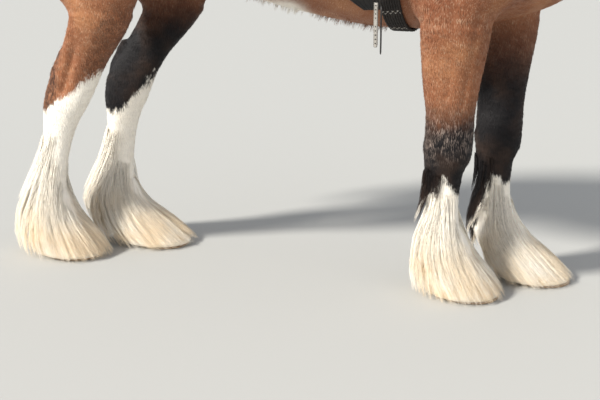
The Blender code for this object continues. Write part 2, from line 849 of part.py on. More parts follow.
def eye_look(side):
    """Which way an eye looks."""
    return Vector((0.36, side * 0.93, 0.02)).normalized()


def eyeball(side_name):
    """Eyeball, set deep behind its lids."""
    side = SIDES[side_name]
    bm = bmesh.new()
    bmesh.ops.create_uvsphere(bm, u_segments=10, v_segments=6, radius=EYE_RADIUS)
    turn = eye_look(side).to_track_quat("Z", "Y").to_matrix().to_4x4()
    bmesh.ops.transform(bm, matrix=Matrix.Translation(on_head(EYE_ALONG, side * EYE_SIDE, EYE_OUT)) @ turn, verts=bm.verts)
    return new_object(f"{side_name}_eye", bm, EYE)


LID_THICKNESS = 0.0045
LID_HALF_LENGTH = 0.0235
LID_HALF_HEIGHT = 0.0150


def lid_bulge(side_name):
    """Round form that the lids are cut from."""
    side = SIDES[side_name]
    bm = bmesh.new()
    bmesh.ops.create_uvsphere(bm, u_segments=12, v_segments=7, radius=EYE_RADIUS + LID_THICKNESS)
    turn = eye_look(side).to_track_quat("Z", "Y").to_matrix().to_4x4()
    bmesh.ops.transform(bm, matrix=Matrix.Translation(on_head(EYE_ALONG, side * EYE_SIDE, EYE_OUT)) @ turn, verts=bm.verts)
    return new_object("lids", bm)


def lid_opening(side_name):
    """Almond-shaped cutter between the lids."""
    side = SIDES[side_name]
    centre = on_head(EYE_ALONG, side * EYE_SIDE, EYE_OUT)
    look = eye_look(side)
    slant = (FACE_DOWN + Vector((1, 0, 0))).normalized()
    length = (slant - look * look.dot(slant)).normalized()
    height = look.cross(length).normalized()
    rings = []
    for reach, spread in ((0.010, 0.7), (0.022, 0.95), (0.045, 1.5)):
        ring = []
        for i in range(LID_POINTS):
            angle = 2 * math.pi * i / LID_POINTS
            x = math.cos(angle)
            y = math.sin(angle) * (1 - 0.45 * x * x)
            ring.append(centre + look * reach + (length * x * LID_HALF_LENGTH + height * y * LID_HALF_HEIGHT) * spread)
        rings.append(ring)
    return loft("lid_opening", rings)


LID_POINTS = 10


def nostril(side_name):
    """Cutter for one nostril, a slanting drop-shaped opening that runs back into the muzzle."""
    side = SIDES[side_name]
    centre = on_head(0.634, side * 0.068, -0.068)
    inward = (FACE_DOWN * -0.42 + Vector((0, -side, 0)) * 0.9 - FACE_OUT * 0.05).normalized()
    length = FACE_DOWN * 0.75 - FACE_OUT * 0.66
    length = (length - inward * inward.dot(length)).normalized()
    width = inward.cross(length)
    rings = []
    for depth, half_length, half_width in NOSTRIL_RINGS:
        ring = []
        for i in range(NOSTRIL_POINTS):
            angle = 2 * math.pi * i / NOSTRIL_POINTS
            x = math.cos(angle)
            y = math.sin(angle) * (1 + 0.4 * x)
            ring.append(centre + inward * depth + length * x * half_length + width * y * half_width)
        rings.append(ring)
    return loft("nostril", rings)


NOSTRIL_POINTS = 8
NOSTRIL_RINGS = ((-0.035, 0.030, 0.014), (-0.006, 0.025, 0.011), (0.012, 0.018, 0.008), (0.030, 0.008, 0.004))


def mouth_line():
    """Cutter for the line of the mouth, a thin blade bent round the muzzle."""
    table = np.array(HEAD)
    rings = []
    for t in np.linspace(-1, 1, MOUTH_STEPS):
        turn = t * math.pi / 2
        side = math.sin(turn)
        along = MOUTH_CORNER + (MOUTH_FRONT - MOUTH_CORNER) * math.cos(turn) ** 0.6
        half_width = float(monotone_curve(table[:, 0], table[:, 3], along)) * 0.97
        out = MOUTH_OUT - 0.012 * abs(t)
        lip = on_head(along, side * half_width, out)
        inward = (on_head(MOUTH_CORNER - 0.02, 0, out) - lip).normalized()
        ring = []
        for depth, height in ((-0.02, MOUTH_OPEN), (MOUTH_DEPTH, 0.0006), (MOUTH_DEPTH, -0.0006), (-0.02, -MOUTH_OPEN)):
            ring.append(lip + inward * depth + FACE_OUT * height)
        rings.append(ring)
    return loft("mouth_line", rings)


MOUTH_STEPS = 9
MOUTH_CORNER = 0.572
MOUTH_FRONT = 0.722
MOUTH_OUT = -0.126
MOUTH_OPEN = 0.0035
MOUTH_DEPTH = 0.014


EAR_LENGTH = 0.178
EAR_POINTS = 6


def ear(side_name):
    """Ear, a pointed leaf rolled into a deep cup that opens forwards and outwards."""
    side = SIDES[side_name]
    base = on_head(0.018, side * 0.060, -0.022)
    axis = Vector((0.20, side * 0.20, 0.96)).normalized()
    facing = Vector((0.80, side * 0.60, 0.0))
    facing = (facing - axis * axis.dot(facing)).normalized()
    across = axis.cross(facing)
    rings = []
    for t in (0.0, 0.15, 0.33, 0.55, 0.78, 0.93, 1.0):
        radius = 0.0012 + (0.031 + 0.010 * math.sin(math.pi * t)) * (1 - t**3.5)
        wall = 0.0045 + radius * 0.9 * max(0.0, 1 - t / 0.2) - 0.002 * t
        inner = max(radius * 0.3, radius - wall)
        opening = math.radians(14 + 66 * t**0.8)
        centre = base + axis * EAR_LENGTH * t - facing * 0.018 * math.sin(math.pi * t)
        outside = []
        inside = []
        for i in range(EAR_POINTS):
            angle = opening + (2 * math.pi - 2 * opening) * i / (EAR_POINTS - 1)
            direction = facing * math.cos(angle) + across * math.sin(angle)
            outside.append(centre + direction * radius)
            inside.append(centre + direction * inner)
        rings.append(outside + inside[::-1])
    return loft(f"{side_name}_ear", rings, BAY_COAT)


TAIL_PATH = (
    (-0.82, 1.50),
    (-0.90, 1.525),
    (-0.955, 1.47),
    (-0.985, 1.37),
    (-1.0, 1.26),
    (-1.0, 1.16),
)
TAIL_RADII = (0.055, 0.055, 0.048, 0.040, 0.032, 0.018)


def tail_point(t):
    """Point on the dock's middle line, from its root at 0 to its tip at 1."""
    at = np.linspace(0, 1, len(TAIL_PATH))
    x = float(monotone_curve(at, [p[0] for p in TAIL_PATH], t))
    z = float(monotone_curve(at, [p[1] for p in TAIL_PATH], t))
    return Vector((x, 0, z))


def tail_radius(t):
    """Radius of the dock."""
    return float(monotone_curve(np.linspace(0, 1, len(TAIL_RADII)), TAIL_RADII, t))


def tail_dock():
    """Fleshy root of the tail."""
    rings = []
    for t in np.linspace(0, 1, 8):
        ahead = tail_point(min(1.0, t + 0.03)) - tail_point(max(0.0, t - 0.03))
        upward = ahead.normalized().cross(Vector((0, 1, 0)))
        radius = tail_radius(t)
        rings.append(
            superellipse(tail_point(t), Vector((0, 1, 0)), upward, (radius, radius), (radius * 0.85,) * 2, 2.0, 10)
        )
    return loft("tail", rings, BLACK_HAIR)


def feather_reach(which, height):
    """How far the feather stands ahead, behind and to the side at one height."""
    table = np.array(FEATHER_REACH[which])
    return [float(monotone_curve(table[:, 0], table[:, i], height)) for i in (1, 2, 3)]


def foot_frame(which, side_name, height):
    """Leg's middle at a height, with its own forward and outward directions."""
    side = SIDES[side_name]
    pose = LEG_POSES[which, side_name]
    turn = side * pose.toe_out * min(1.0, max(0.0, (0.5 - height) / 0.3))
    return (
        leg_axis(pose, side, height),
        turned(Vector((1, 0, 0)), turn),
        turned(Vector((0, side, 0)), turn),
    )


def hair_reach(which, height, share):
    """Distance to a share of the way from the skin to the feather's tips: ahead, behind, to the side."""
    table = np.array(FORE_LEG if which == "fore" else HIND_LEG)
    bare = [float(monotone_curve(table[:, 0], table[:, i], height)) for i in (1, 2, 3)]
    return [b + (r - b) * share for r, b in zip(feather_reach(which, height), bare)]


def feather_core(which, side_name):
    """Dense inner hair round the foot, less than half way out to the tips."""
    rings = []
    for down in np.linspace(0, 1, 6):
        height = CORE_TOP + (CORE_LOW - CORE_TOP) * down
        middle, forward, outward = foot_frame(which, side_name, height)
        ahead, behind, beside = hair_reach(which, height, min(CORE_SHARE, 2.2 * down - 0.15))
        rings.append(superellipse(middle, forward, outward, (ahead, behind), (beside, beside), 2.1, 12))
    return loft("feather_core", rings)


CORE_SHARE = 0.45
CORE_TOP = 0.26
CORE_LOW = 0.03


def feather_point(which, side_name, angle, height, share):
    """Place in the feather at an angle round the foot from straight ahead, and the way it faces."""
    middle, forward, outward = foot_frame(which, side_name, height)
    ahead, behind, beside = hair_reach(which, height, share)
    along = math.cos(angle) * (ahead if math.cos(angle) > 0 else behind)
    across = math.sin(angle) * beside * (1.0 if math.sin(angle) > 0 else INNER_SHARE)
    place = middle + forward * along + outward * across
    return place, (place - middle).normalized()


INNER_SHARE = 0.94


def lock(path, facings, width, thickness):
    """One flat lock of hair, widest a little past its root and tapering to a point."""
    bm = bmesh.new()
    rows = []
    last = len(path) - 1
    for i in range(last):
        run = (path[i + 1] - path[max(0, i - 1)]).normalized()
        facing = (facings[i] - run * run.dot(facings[i])).normalized()
        across = run.cross(facing)
        taper = LOCK_TAPER[round(i * (len(LOCK_TAPER) - 1) / last)]
        half = width / 2 * taper
        deep = thickness / 2 * taper
        corners = (across * half, facing * deep, across * -half, facing * -deep)
        rows.append([bm.verts.new(path[i] + corner) for corner in corners])
    tip = bm.verts.new(path[-1])
    for row, following in zip(rows, rows[1:]):
        for i in range(4):
            j = (i + 1) % 4
            bm.faces.new((row[i], row[j], following[j], following[i]))
    for i in range(4):
        bm.faces.new((rows[-1][i], rows[-1][(i + 1) % 4], tip))
    bm.faces.new(rows[0][::-1])
    return new_object("lock", bm)


LOCK_TAPER = (0.5, 0.78, 1.0, 0.85, 0.0)
LAYER_RISE = 0.012


class LockTier(NamedTuple):
    """One ring of locks round a foot: angles in degrees from straight ahead, heights in metres."""

    count: int
    from_angle: float
    to_angle: float
    top: float
    bottom: float
    width: float


FEATHER_TIERS = {
    "fore": (
        LockTier(7, 25, 335, 0.185, 0.006, 0.108),
        LockTier(5, 70, 290, 0.295, 0.085, 0.088),
        LockTier(2, 150, 210, 0.37, 0.235, 0.052),
    ),
    "hind": (
        LockTier(7, 25, 335, 0.195, 0.006, 0.114),
        LockTier(5, 70, 290, 0.32, 0.09, 0.094),
        LockTier(2, 150, 210, 0.41, 0.25, 0.056),
    ),
}
TOE_CLEAR = 0.014
TIER_STEP = 0.2


def feather_locks(which, side_name, draw):
    """Feather of one foot, in tiers that overlap downwards and flare over the hoof."""
    locks = []
    for level, tier in enumerate(FEATHER_TIERS[which]):
        for i in range(tier.count):
            turn = tier.from_angle + (tier.to_angle - tier.from_angle) * i / (tier.count - 1)
            angle = math.radians(turn + draw.uniform(-3, 3))
            bend = math.radians(draw.uniform(-7, 7))
            bottom = tier.bottom + draw.uniform(0.0, 0.014) + TOE_CLEAR * max(0.0, math.cos(angle)) ** 6
            top = tier.top + draw.uniform(-0.012, 0.012)
            path = []
            facings = []
            for down, share in ((0.0, 0.0), (0.36, 0.66), (0.72, 0.9), (1.0, draw.uniform(0.88, 1.02))):
                height = top + (bottom - top) * down
                place, facing = feather_point(
                    which, side_name, angle + bend * down, height, share * (1 - TIER_STEP * level)
                )
                path.append(place + facing * LAYER_RISE * (level == 1) * min(1.0, down * 3))
                facings.append(facing)
            locks.append(lock(path, facings, tier.width, LOCK_THICKNESS))
    return locks


LOCK_THICKNESS = 0.011


def neck_crest(t):
    """Point on the crest, from the withers at 0 to the poll at 1."""
    at = np.linspace(0, 1, len(NECK))
    x = float(monotone_curve(at, [section.crest_x for section in NECK], t))
    z = float(monotone_curve(at, [section.crest_z for section in NECK], t))
    return Vector((x, 0, z))


MANE_FROM = 0.2
MANE_TO = 0.86
MANE_LAYERS = ((11, 0.31, 0.009), (10, 0.225, 0.019))


def mane_locks(hide, draw):
    """Mane, in a longer layer against the neck and a shorter one over it, down the right side."""
    locks = []
    for layer, (count, drop, off) in enumerate(MANE_LAYERS):
        for i in range(count):
            t = MANE_FROM + 0.01 + (MANE_TO - MANE_FROM - 0.02) * (i + 0.5 * layer) / count
            crest = neck_crest(t + draw.uniform(-0.008, 0.008))
            length = drop * draw.uniform(0.86, 1.08) * min(1.0, 0.55 + (1 - t) * 1.5)
            sway = draw.uniform(-0.024, -0.004)
            path = []
            facings = []
            for down, lift in ((0.0, MANE_ROOT), (0.17, 0.3 * off), (0.45, off), (0.75, 1.1 * off), (1.0, 0.9 * off)):
                wave = sway * down + draw.uniform(-0.003, 0.003)
                drop = MANE_PARTING * (2 - layer) + length * down
                path.append(hide.on_side(crest.x + wave, crest.z - drop, -1.0, lift))
                facings.append(Vector((0, -1, 0.3 * (1 - down))))
            locks.append(lock(path, facings, MANE_WIDTH, MANE_THICKNESS))
    return locks


MANE_WIDTH = 0.060
MANE_THICKNESS = 0.008
MANE_ROOT = -0.013
MANE_PARTING = 0.016

TAIL_HAIR = ((1.47, 0.045, 0.048), (1.36, 0.046, 0.058), (1.25, 0.056, 0.074), (1.10, 0.056, 0.078), (0.98, 0.036, 0.052))


def tail_place(angle, height, share):
    """Place in the tail's hair at an angle from straight back, and the way it faces."""
    table = np.array(TAIL_HAIR)
    along, across = (float(monotone_curve(table[:, 0], table[:, i], height)) for i in (1, 2))
    facing = Vector((-math.cos(angle), math.sin(angle), 0))
    middle = tail_middle(height)
    return middle + Vector((facing.x * along, facing.y * across, 0)) * share, facing


def tail_middle(height):
    """Middle line of the hanging tail."""
    heights = [p[1] for p in TAIL_PATH[2:]]
    x = float(monotone_curve(heights, [p[0] for p in TAIL_PATH[2:]], height))
    return Vector((x, 0, height))


TAIL_TIERS = ((6, 1.24, 0.988, 0.0), (6, 1.37, 1.06, 0.5), (5, 1.475, 1.20, 0.0))


def tail_locks(draw):
    """Hair of the tail, in three tiers round the dock."""
    locks = []
    for level, (count, top, bottom, offset) in enumerate(TAIL_TIERS):
        for i in range(count):
            angle = 2 * math.pi * (i + offset) / count + draw.uniform(-0.12, 0.12)
            bend = draw.uniform(-0.15, 0.15)
            end = bottom + draw.uniform(0.0, 0.04)
            path = []
            facings = []
            for down, share in ((0.0, 0.2), (0.3, 0.7), (0.72, 0.85), (1.0, draw.uniform(0.6, 0.9))):
                place, facing = tail_place(angle + bend * down, top + (end - top) * down, share)
                path.append(place + facing * TAIL_RISE * level * min(1.0, down * 3))
                facings.append(facing)
            locks.append(lock(path, facings, TAIL_LOCK_WIDTH, LOCK_THICKNESS))
    return locks


TAIL_LOCK_WIDTH = 0.062
TAIL_RISE = 0.009


def forelock(hide, draw):
    """Forelock, a few locks from between the ears down the forehead."""
    locks = []
    for i in range(FORELOCK_COUNT):
        across = (i - (FORELOCK_COUNT - 1) / 2) * 0.019
        lean = draw.uniform(-0.006, 0.010)
        length = draw.uniform(0.16, 0.215)
        path = [on_head(-0.03, across * 0.3, -0.02)]
        facings = [FACE_OUT]
        for down, off in ((0.12, 0.010), (0.45, 0.014), (0.75, 0.012), (1.0, 0.005)):
            spread = across * (0.35 + 0.95 * down) + lean * down
            path.append(hide.on_face(length * down, spread, off + 0.002 * (i % 2)))
            facings.append(FACE_OUT)
        locks.append(lock(path, facings, 0.024, 0.008))
    return locks


FORELOCK_COUNT = 5

PAD_THICKNESS = 0.013
PAD_ANGLE = math.radians(150.0)
PAD_FRONT = ((0.0, 0.60), (0.9, 0.60), (1.5, 0.585), (2.0, 0.545), (2.35, 0.48), (2.62, 0.40))
PAD_BACK = ((0.0, 0.10), (0.9, 0.10), (1.4, 0.13), (1.9, 0.19), (2.3, 0.26), (2.62, 0.35))


def at_angle(edge, angle):
    """Where one edge of the pad is, at an angle round the barrel."""
    return float(monotone_curve([p[0] for p in edge], [p[1] for p in edge], abs(angle)))


def wrapped_sheet(name, hide, angles, edges, offs, columns, finish=None):
    """Sheet laid round the barrel between a back and a front edge."""
    back, front = edges
    inner, outer = offs
    rings = []
    for angle in angles:
        ring = []
        for off, order in ((outer, range(columns)), (inner, reversed(range(columns)))):
            for j in order:
                x = back(angle) + (front(angle) - back(angle)) * j / (columns - 1)
                ring.append(hide.round_barrel(x, angle, off))
        rings.append(ring)
    return loft(name, rings, finish)


def saddle_pad(hide):
    """Black pad over the back, with a rounded lower corner on each side."""
    edges = (lambda angle: at_angle(PAD_BACK, angle), lambda angle: at_angle(PAD_FRONT, angle))
    angles = np.linspace(-PAD_ANGLE, PAD_ANGLE, 23)
    return wrapped_sheet("saddle_pad", hide, angles, edges, (-0.012, PAD_THICKNESS), 4, BLACK_PAD)


GIRTH_FRONT = 0.485
GIRTH_BACK = 0.405
GIRTH_START = math.radians(112.0)


def girth(hide):
    """Corded girth under the chest, between its two rings."""
    edges = (lambda angle: GIRTH_BACK, lambda angle: GIRTH_FRONT)
    angles = np.linspace(GIRTH_START, 2 * math.pi - GIRTH_START, 13)
    return wrapped_sheet("girth", hide, angles, edges, (-0.01, PAD_THICKNESS + 0.008), 2, GIRTH_CORD)


SURCINGLE_END = math.radians(104.0)
SURCINGLE_FRONT = 0.472
SURCINGLE_BACK = 0.418


def surcingle(hide):
    """Strap over the pad that carries the girth's rings."""
    edges = (lambda angle: SURCINGLE_BACK, lambda angle: SURCINGLE_FRONT)
    angles = np.linspace(-SURCINGLE_END, SURCINGLE_END, 15)
    offs = (PAD_THICKNESS - 0.006, PAD_THICKNESS + 0.006)
    return wrapped_sheet("surcingle", hide, angles, edges, offs, 2, BLACK_STRAP)


def girth_ring(hide, side_name):
    """Ring that joins the surcingle to the girth on one side."""
    side = SIDES[side_name]
    angle = side * (SURCINGLE_END + GIRTH_START) / 2
    centre = hide.round_barrel((GIRTH_FRONT + GIRTH_BACK) / 2, angle, PAD_THICKNESS + 0.012)
    outward = Vector((0, math.sin(angle), math.cos(angle)))
    bm = bmesh.new()
    rings = []
    across = Vector((1, 0, 0))
    down = outward.cross(across)
    for i in range(RING_STEPS):
        turn = 2 * math.pi * i / RING_STEPS
        spoke = across * math.cos(turn) + down * math.sin(turn)
        middle = centre + spoke * RING_RADIUS
        rings.append([bm.verts.new(p) for p in superellipse(middle, spoke, outward, (RING_WIRE,) * 2, (RING_WIRE,) * 2, 2.0, 5)])
    for row, following in zip(rings, rings[1:] + rings[:1]):
        for i in range(5):
            j = (i + 1) % 5
            bm.faces.new((row[i], row[j], following[j], following[i]))
    return new_object(f"{side_name}_girth_ring", bm, STEEL)


RING_STEPS = 12
RING_RADIUS = 0.036
RING_WIRE = 0.004


def hanging_strap(name, x, top, bottom, width, thickness, y, finish):
    """Strap end hanging straight down beside the girth."""
    bm = bmesh.new()
    bmesh.ops.create_cube(bm, size=1.0)
    matrix = Matrix.Translation((x, y, (top + bottom) / 2)) @ Matrix.Diagonal((width, thickness, top - bottom, 1.0))
    bmesh.ops.transform(bm, matrix=matrix, verts=bm.verts)
    return new_object(name, bm, finish)


def shift_to_origin():
    """Stands the horse with the middle of its outline over the origin."""
    lows = []
    highs = []
    for obj in bpy.data.objects:
        xs = [v.co.x for v in obj.data.vertices]
        ys = [v.co.y for v in obj.data.vertices]
        lows.append((min(xs), min(ys)))
        highs.append((max(xs), max(ys)))
    middle_x = (min(low[0] for low in lows) + max(high[0] for high in highs)) / 2
    middle_y = (min(low[1] for low in lows) + max(high[1] for high in highs)) / 2
    for obj in bpy.data.objects:
        obj.data.transform(Matrix.Translation((-middle_x, -middle_y, 0)))


SEED = 7


def main():
    """Builds the horse."""
    for obj in list(bpy.data.objects):
        bpy.data.objects.remove(obj)
    draw = random.Random(SEED)
    body, crown = body_form()
    hide = Hide(body)
    face = Hide(crown)
    dress(body, BAY_COAT)
    dress(crown, BAY_COAT)
    flesh = part_flesh(body)
    for which, side_name in LEG_POSES:
        foot = hoof(which, side_name)
        cannon = flesh[f"{side_name}_{which}_cannon"]
        dress(cannon, WHITE_FEATHER)
        combine(cannon, [feather_core(which, side_name)] + feather_locks(which, side_name, draw), "UNION", "MANIFOLD")
        cut_clear(cannon, [foot], "MANIFOLD")
    head = head_piece(crown)
    combine(head, [lid_bulge(side_name) for side_name in SIDES], "UNION")
    combine(head, forelock(face, draw), "UNION", "MANIFOLD")
    eyes = [eyeball(side_name) for side_name in SIDES]
    cutters = [grown(eye, GAP * 1.5) for eye in eyes]
    cutters += [lid_opening(side_name) for side_name in SIDES]
    cutters += [nostril(side_name) for side_name in SIDES]
    combine(head, cutters + [mouth_line()], "DIFFERENCE")
    keep_largest(head)
    for side_name in SIDES:
        cut_clear(ear(side_name), [head], "MANIFOLD")
    tail = tail_dock()
    combine(tail, tail_locks(draw), "UNION", "MANIFOLD")
    cut_clear(tail, [flesh["quarters"]], "MANIFOLD")
    trunk = [flesh["shoulders"], flesh["barrel"]]
    neck = flesh["neck"]
    combine(neck, mane_locks(hide, draw), "UNION", "MANIFOLD")
    cut_clear(neck, [head, flesh["shoulders"]], "MANIFOLD")
    pad = saddle_pad(hide)
    whole_pad = copy_of(pad, "whole_pad")
    cut_clear(pad, trunk + [neck], "MANIFOLD")
    strap = surcingle(hide)
    cinch = girth(hide)
    for piece in (strap, cinch):
        cut_clear(piece, [whole_pad] + trunk, "MANIFOLD")
    for side_name in SIDES:
        cut_clear(girth_ring(hide, side_name), [whole_pad, strap, cinch], "MANIFOLD")
    remove([whole_pad])
    hanging_strap("hanging_strap", 0.415, 0.975, 0.836, 0.018, 0.006, -0.30, GREY_STRAP)
    hanging_strap("hanging_lace", 0.432, 0.965, 0.815, 0.005, 0.004, -0.30, BLACK_STRAP)
    shift_to_origin()


main()
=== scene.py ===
"""Looks of a life-size clydesdale horse, a still model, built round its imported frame.

Sizes are in metres in the body's own frame: X forward along the horse, Y to its left, Z up.
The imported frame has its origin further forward, and finish_piece() carries each piece over by SHIFT.
"""
import logging
import math
from dataclasses import dataclass
from enum import Enum
from typing import Callable, Iterable, NamedTuple, Optional, Sequence

import bmesh
import bpy
import numpy as np
from mathutils import Matrix, Vector
from mathutils.bvhtree import BVHTree


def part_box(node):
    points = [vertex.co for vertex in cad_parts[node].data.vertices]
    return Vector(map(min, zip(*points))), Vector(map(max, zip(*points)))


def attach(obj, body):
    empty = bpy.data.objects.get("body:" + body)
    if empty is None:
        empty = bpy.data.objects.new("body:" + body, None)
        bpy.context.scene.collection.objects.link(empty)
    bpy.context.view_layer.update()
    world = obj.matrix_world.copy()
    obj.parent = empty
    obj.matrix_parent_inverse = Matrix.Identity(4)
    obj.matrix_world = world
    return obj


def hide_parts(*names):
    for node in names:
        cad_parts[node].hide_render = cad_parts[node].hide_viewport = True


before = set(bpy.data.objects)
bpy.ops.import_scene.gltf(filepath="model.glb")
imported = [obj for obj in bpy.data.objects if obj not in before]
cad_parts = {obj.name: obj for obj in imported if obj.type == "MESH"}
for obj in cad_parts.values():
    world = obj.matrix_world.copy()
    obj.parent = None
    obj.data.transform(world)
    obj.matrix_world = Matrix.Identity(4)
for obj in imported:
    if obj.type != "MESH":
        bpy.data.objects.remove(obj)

LOG = logging.getLogger("horse")
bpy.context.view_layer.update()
GAP = 0.0003
LOIN_CUT_X = -0.24
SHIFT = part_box("barrel")[0].x - (LOIN_CUT_X + GAP / 2)
SEED = 11
TAU = 2 * math.pi
Colour = tuple[float, float, float, float]
Array = np.ndarray

# The body's own sizes, as in the part
HEAD_LENGTH = 0.72
POLL = Vector((1.405, 0.0, 2.115))
FACE_SLOPE = math.radians(53.0)
LEG_TOP = 0.90
LEG_ROOT = 0.76
COAT_DEPTH = 0.0025
GROUND_CLEAR = 0.004


class Side(Enum):
    """Sides of the horse, by the sign of Y."""

    RIGHT = -1.0
    LEFT = 1.0


class Limb(Enum):
    """Pairs of legs."""

    FORE = "fore"
    HIND = "hind"


class TrunkSection(NamedTuple):
    """One upright section across the trunk."""

    x: float
    top: float
    bottom: float
    half_width: float
    widest: float
    roundness_above: float
    roundness_below: float


TRUNK = (
    TrunkSection(-0.955, 1.40, 1.26, 0.05, 1.34, 2.0, 2.0),
    TrunkSection(-0.91, 1.51, 1.16, 0.14, 1.36, 2.0, 2.0),
    TrunkSection(-0.82, 1.615, 1.07, 0.23, 1.38, 2.0, 2.0),
    TrunkSection(-0.65, 1.705, 1.03, 0.29, 1.40, 2.1, 2.0),
    TrunkSection(-0.45, 1.755, 1.02, 0.315, 1.40, 2.1, 2.0),
    TrunkSection(-0.28, 1.745, 1.012, 0.325, 1.36, 2.0, 2.0),
    TrunkSection(-0.10, 1.70, 0.958, 0.345, 1.29, 2.0, 2.1),
    TrunkSection(0.08, 1.672, 0.915, 0.355, 1.26, 2.0, 2.1),
    TrunkSection(0.25, 1.682, 0.884, 0.345, 1.25, 1.95, 2.1),
    TrunkSection(0.40, 1.73, 0.866, 0.315, 1.24, 1.75, 2.1),
    TrunkSection(0.52, 1.768, 0.866, 0.285, 1.24, 1.6, 2.1),
    TrunkSection(0.68, 1.755, 0.886, 0.26, 1.24, 1.6, 2.1),
    TrunkSection(0.85, 1.67, 0.925, 0.24, 1.24, 1.8, 2.1),
    TrunkSection(0.98, 1.52, 0.99, 0.20, 1.24, 2.0, 2.1),
    TrunkSection(1.055, 1.38, 1.10, 0.12, 1.24, 2.0, 2.0),
)


class NeckSection(NamedTuple):
    """One section of the neck, from its crest to its underside."""

    crest_x: float
    crest_z: float
    throat_x: float
    throat_z: float
    half_width: float


NECK = (
    NeckSection(0.44, 1.70, 0.98, 1.14, 0.20),
    NeckSection(0.60, 1.83, 1.06, 1.27, 0.22),
    NeckSection(0.78, 1.96, 1.12, 1.41, 0.195),
    NeckSection(0.97, 2.085, 1.17, 1.54, 0.165),
    NeckSection(1.15, 2.172, 1.22, 1.665, 0.145),
    NeckSection(1.30, 2.195, 1.27, 1.77, 0.128),
    NeckSection(1.405, 2.145, 1.345, 1.86, 0.094),
)


class HeadSection(NamedTuple):
    """One section across the head, measured down the face from the poll."""

    along: float
    face: float
    jaw: float
    half_width: float
    roundness: float


HEAD = (
    HeadSection(-0.07, -0.05, -0.21, 0.070, 2.0),
    HeadSection(-0.02, -0.006, -0.27, 0.092, 2.1),
    HeadSection(0.05, 0.012, -0.305, 0.110, 2.3),
    HeadSection(0.12, 0.021, -0.330, 0.117, 2.5),
    HeadSection(0.20, 0.022, -0.338, 0.114, 2.5),
    HeadSection(0.28, 0.018, -0.320, 0.101, 2.5),
    HeadSection(0.36, 0.016, -0.276, 0.087, 2.4),
    HeadSection(0.44, 0.017, -0.234, 0.077, 2.4),
    HeadSection(0.52, 0.014, -0.204, 0.071, 2.4),
    HeadSection(0.59, 0.007, -0.192, 0.071, 2.4),
    HeadSection(0.65, -0.010, -0.190, 0.070, 2.4),
    HeadSection(0.695, -0.038, -0.172, 0.058, 2.3),
    HeadSection(HEAD_LENGTH, -0.072, -0.145, 0.034, 2.0),
)


class LegSection(NamedTuple):
    """One level section of a leg, about the line through its joints."""

    height: float
    ahead: float
    behind: float
    outward: float
    inward: float


LEG_SECTIONS = {
    Limb.FORE: (
        LegSection(1.20, 0.155, 0.150, 0.105, 0.10),
        LegSection(1.06, 0.135, 0.140, 0.100, 0.09),
        LegSection(0.93, 0.119, 0.120, 0.088, 0.082),
        LegSection(0.82, 0.108, 0.108, 0.077, 0.072),
        LegSection(0.70, 0.092, 0.094, 0.066, 0.062),
        LegSection(0.60, 0.083, 0.080, 0.061, 0.060),
        LegSection(0.53, 0.083, 0.080, 0.067, 0.067),
        LegSection(0.47, 0.080, 0.080, 0.065, 0.065),
        LegSection(0.41, 0.055, 0.074, 0.050, 0.050),
        LegSection(0.31, 0.046, 0.066, 0.043, 0.043),
        LegSection(0.24, 0.052, 0.070, 0.049, 0.049),
        LegSection(0.19, 0.064, 0.076, 0.058, 0.058),
        LegSection(0.14, 0.060, 0.060, 0.052, 0.052),
        LegSection(0.09, 0.070, 0.062, 0.068, 0.068),
        LegSection(0.055, 0.078, 0.066, 0.072, 0.072),
    ),
    Limb.HIND: (
        LegSection(1.24, 0.21, 0.20, 0.120, 0.10),
        LegSection(1.10, 0.180, 0.185, 0.115, 0.095),
        LegSection(1.00, 0.150, 0.152, 0.098, 0.088),
        LegSection(0.93, 0.126, 0.126, 0.080, 0.074),
        LegSection(0.82, 0.110, 0.112, 0.068, 0.064),
        LegSection(0.72, 0.092, 0.104, 0.058, 0.056),
        LegSection(0.645, 0.090, 0.106, 0.058, 0.058),
        LegSection(0.57, 0.084, 0.094, 0.061, 0.061),
        LegSection(0.50, 0.066, 0.072, 0.052, 0.052),
        LegSection(0.42, 0.052, 0.062, 0.042, 0.042),
        LegSection(0.32, 0.048, 0.060, 0.041, 0.041),
        LegSection(0.25, 0.052, 0.068, 0.047, 0.047),
        LegSection(0.20, 0.062, 0.076, 0.056, 0.056),
        LegSection(0.145, 0.060, 0.060, 0.052, 0.052),
        LegSection(0.09, 0.070, 0.062, 0.068, 0.068),
        LegSection(0.055, 0.078, 0.066, 0.072, 0.072),
    ),
}


class LegPose(NamedTuple):
    """Where one leg's joints stand, seen from the side, and how far out it is."""

    heights: tuple[float, ...]
    xs: tuple[float, ...]
    ys: tuple[float, ...]
    toe_out: float


FORE_HEIGHTS = (1.20, 0.98, 0.50, 0.20, 0.0)
HIND_HEIGHTS = (1.24, 0.98, 0.62, 0.48, 0.20, 0.0)
LEG_POSES = {
    (Limb.FORE, Side.RIGHT): LegPose(
        FORE_HEIGHTS, (0.70, 0.655, 0.618, 0.610, 0.70), (0.215, 0.205, 0.13, 0.12, 0.12), 10.0
    ),
    (Limb.FORE, Side.LEFT): LegPose(
        FORE_HEIGHTS, (0.75, 0.738, 0.735, 0.748, 0.905), (0.215, 0.205, 0.14, 0.13, 0.13), 4.0
    ),
    (Limb.HIND, Side.RIGHT): LegPose(
        HIND_HEIGHTS,
        (-0.56, -0.575, -0.762, -0.818, -0.865, -0.785),
        (0.20, 0.195, 0.12, 0.118, 0.115, 0.115),
        8.0,
    ),
    (Limb.HIND, Side.LEFT): LegPose(
        HIND_HEIGHTS,
        (-0.54, -0.475, -0.652, -0.688, -0.708, -0.54),
        (0.20, 0.195, 0.13, 0.13, 0.13, 0.13),
        6.0,
    ),
}

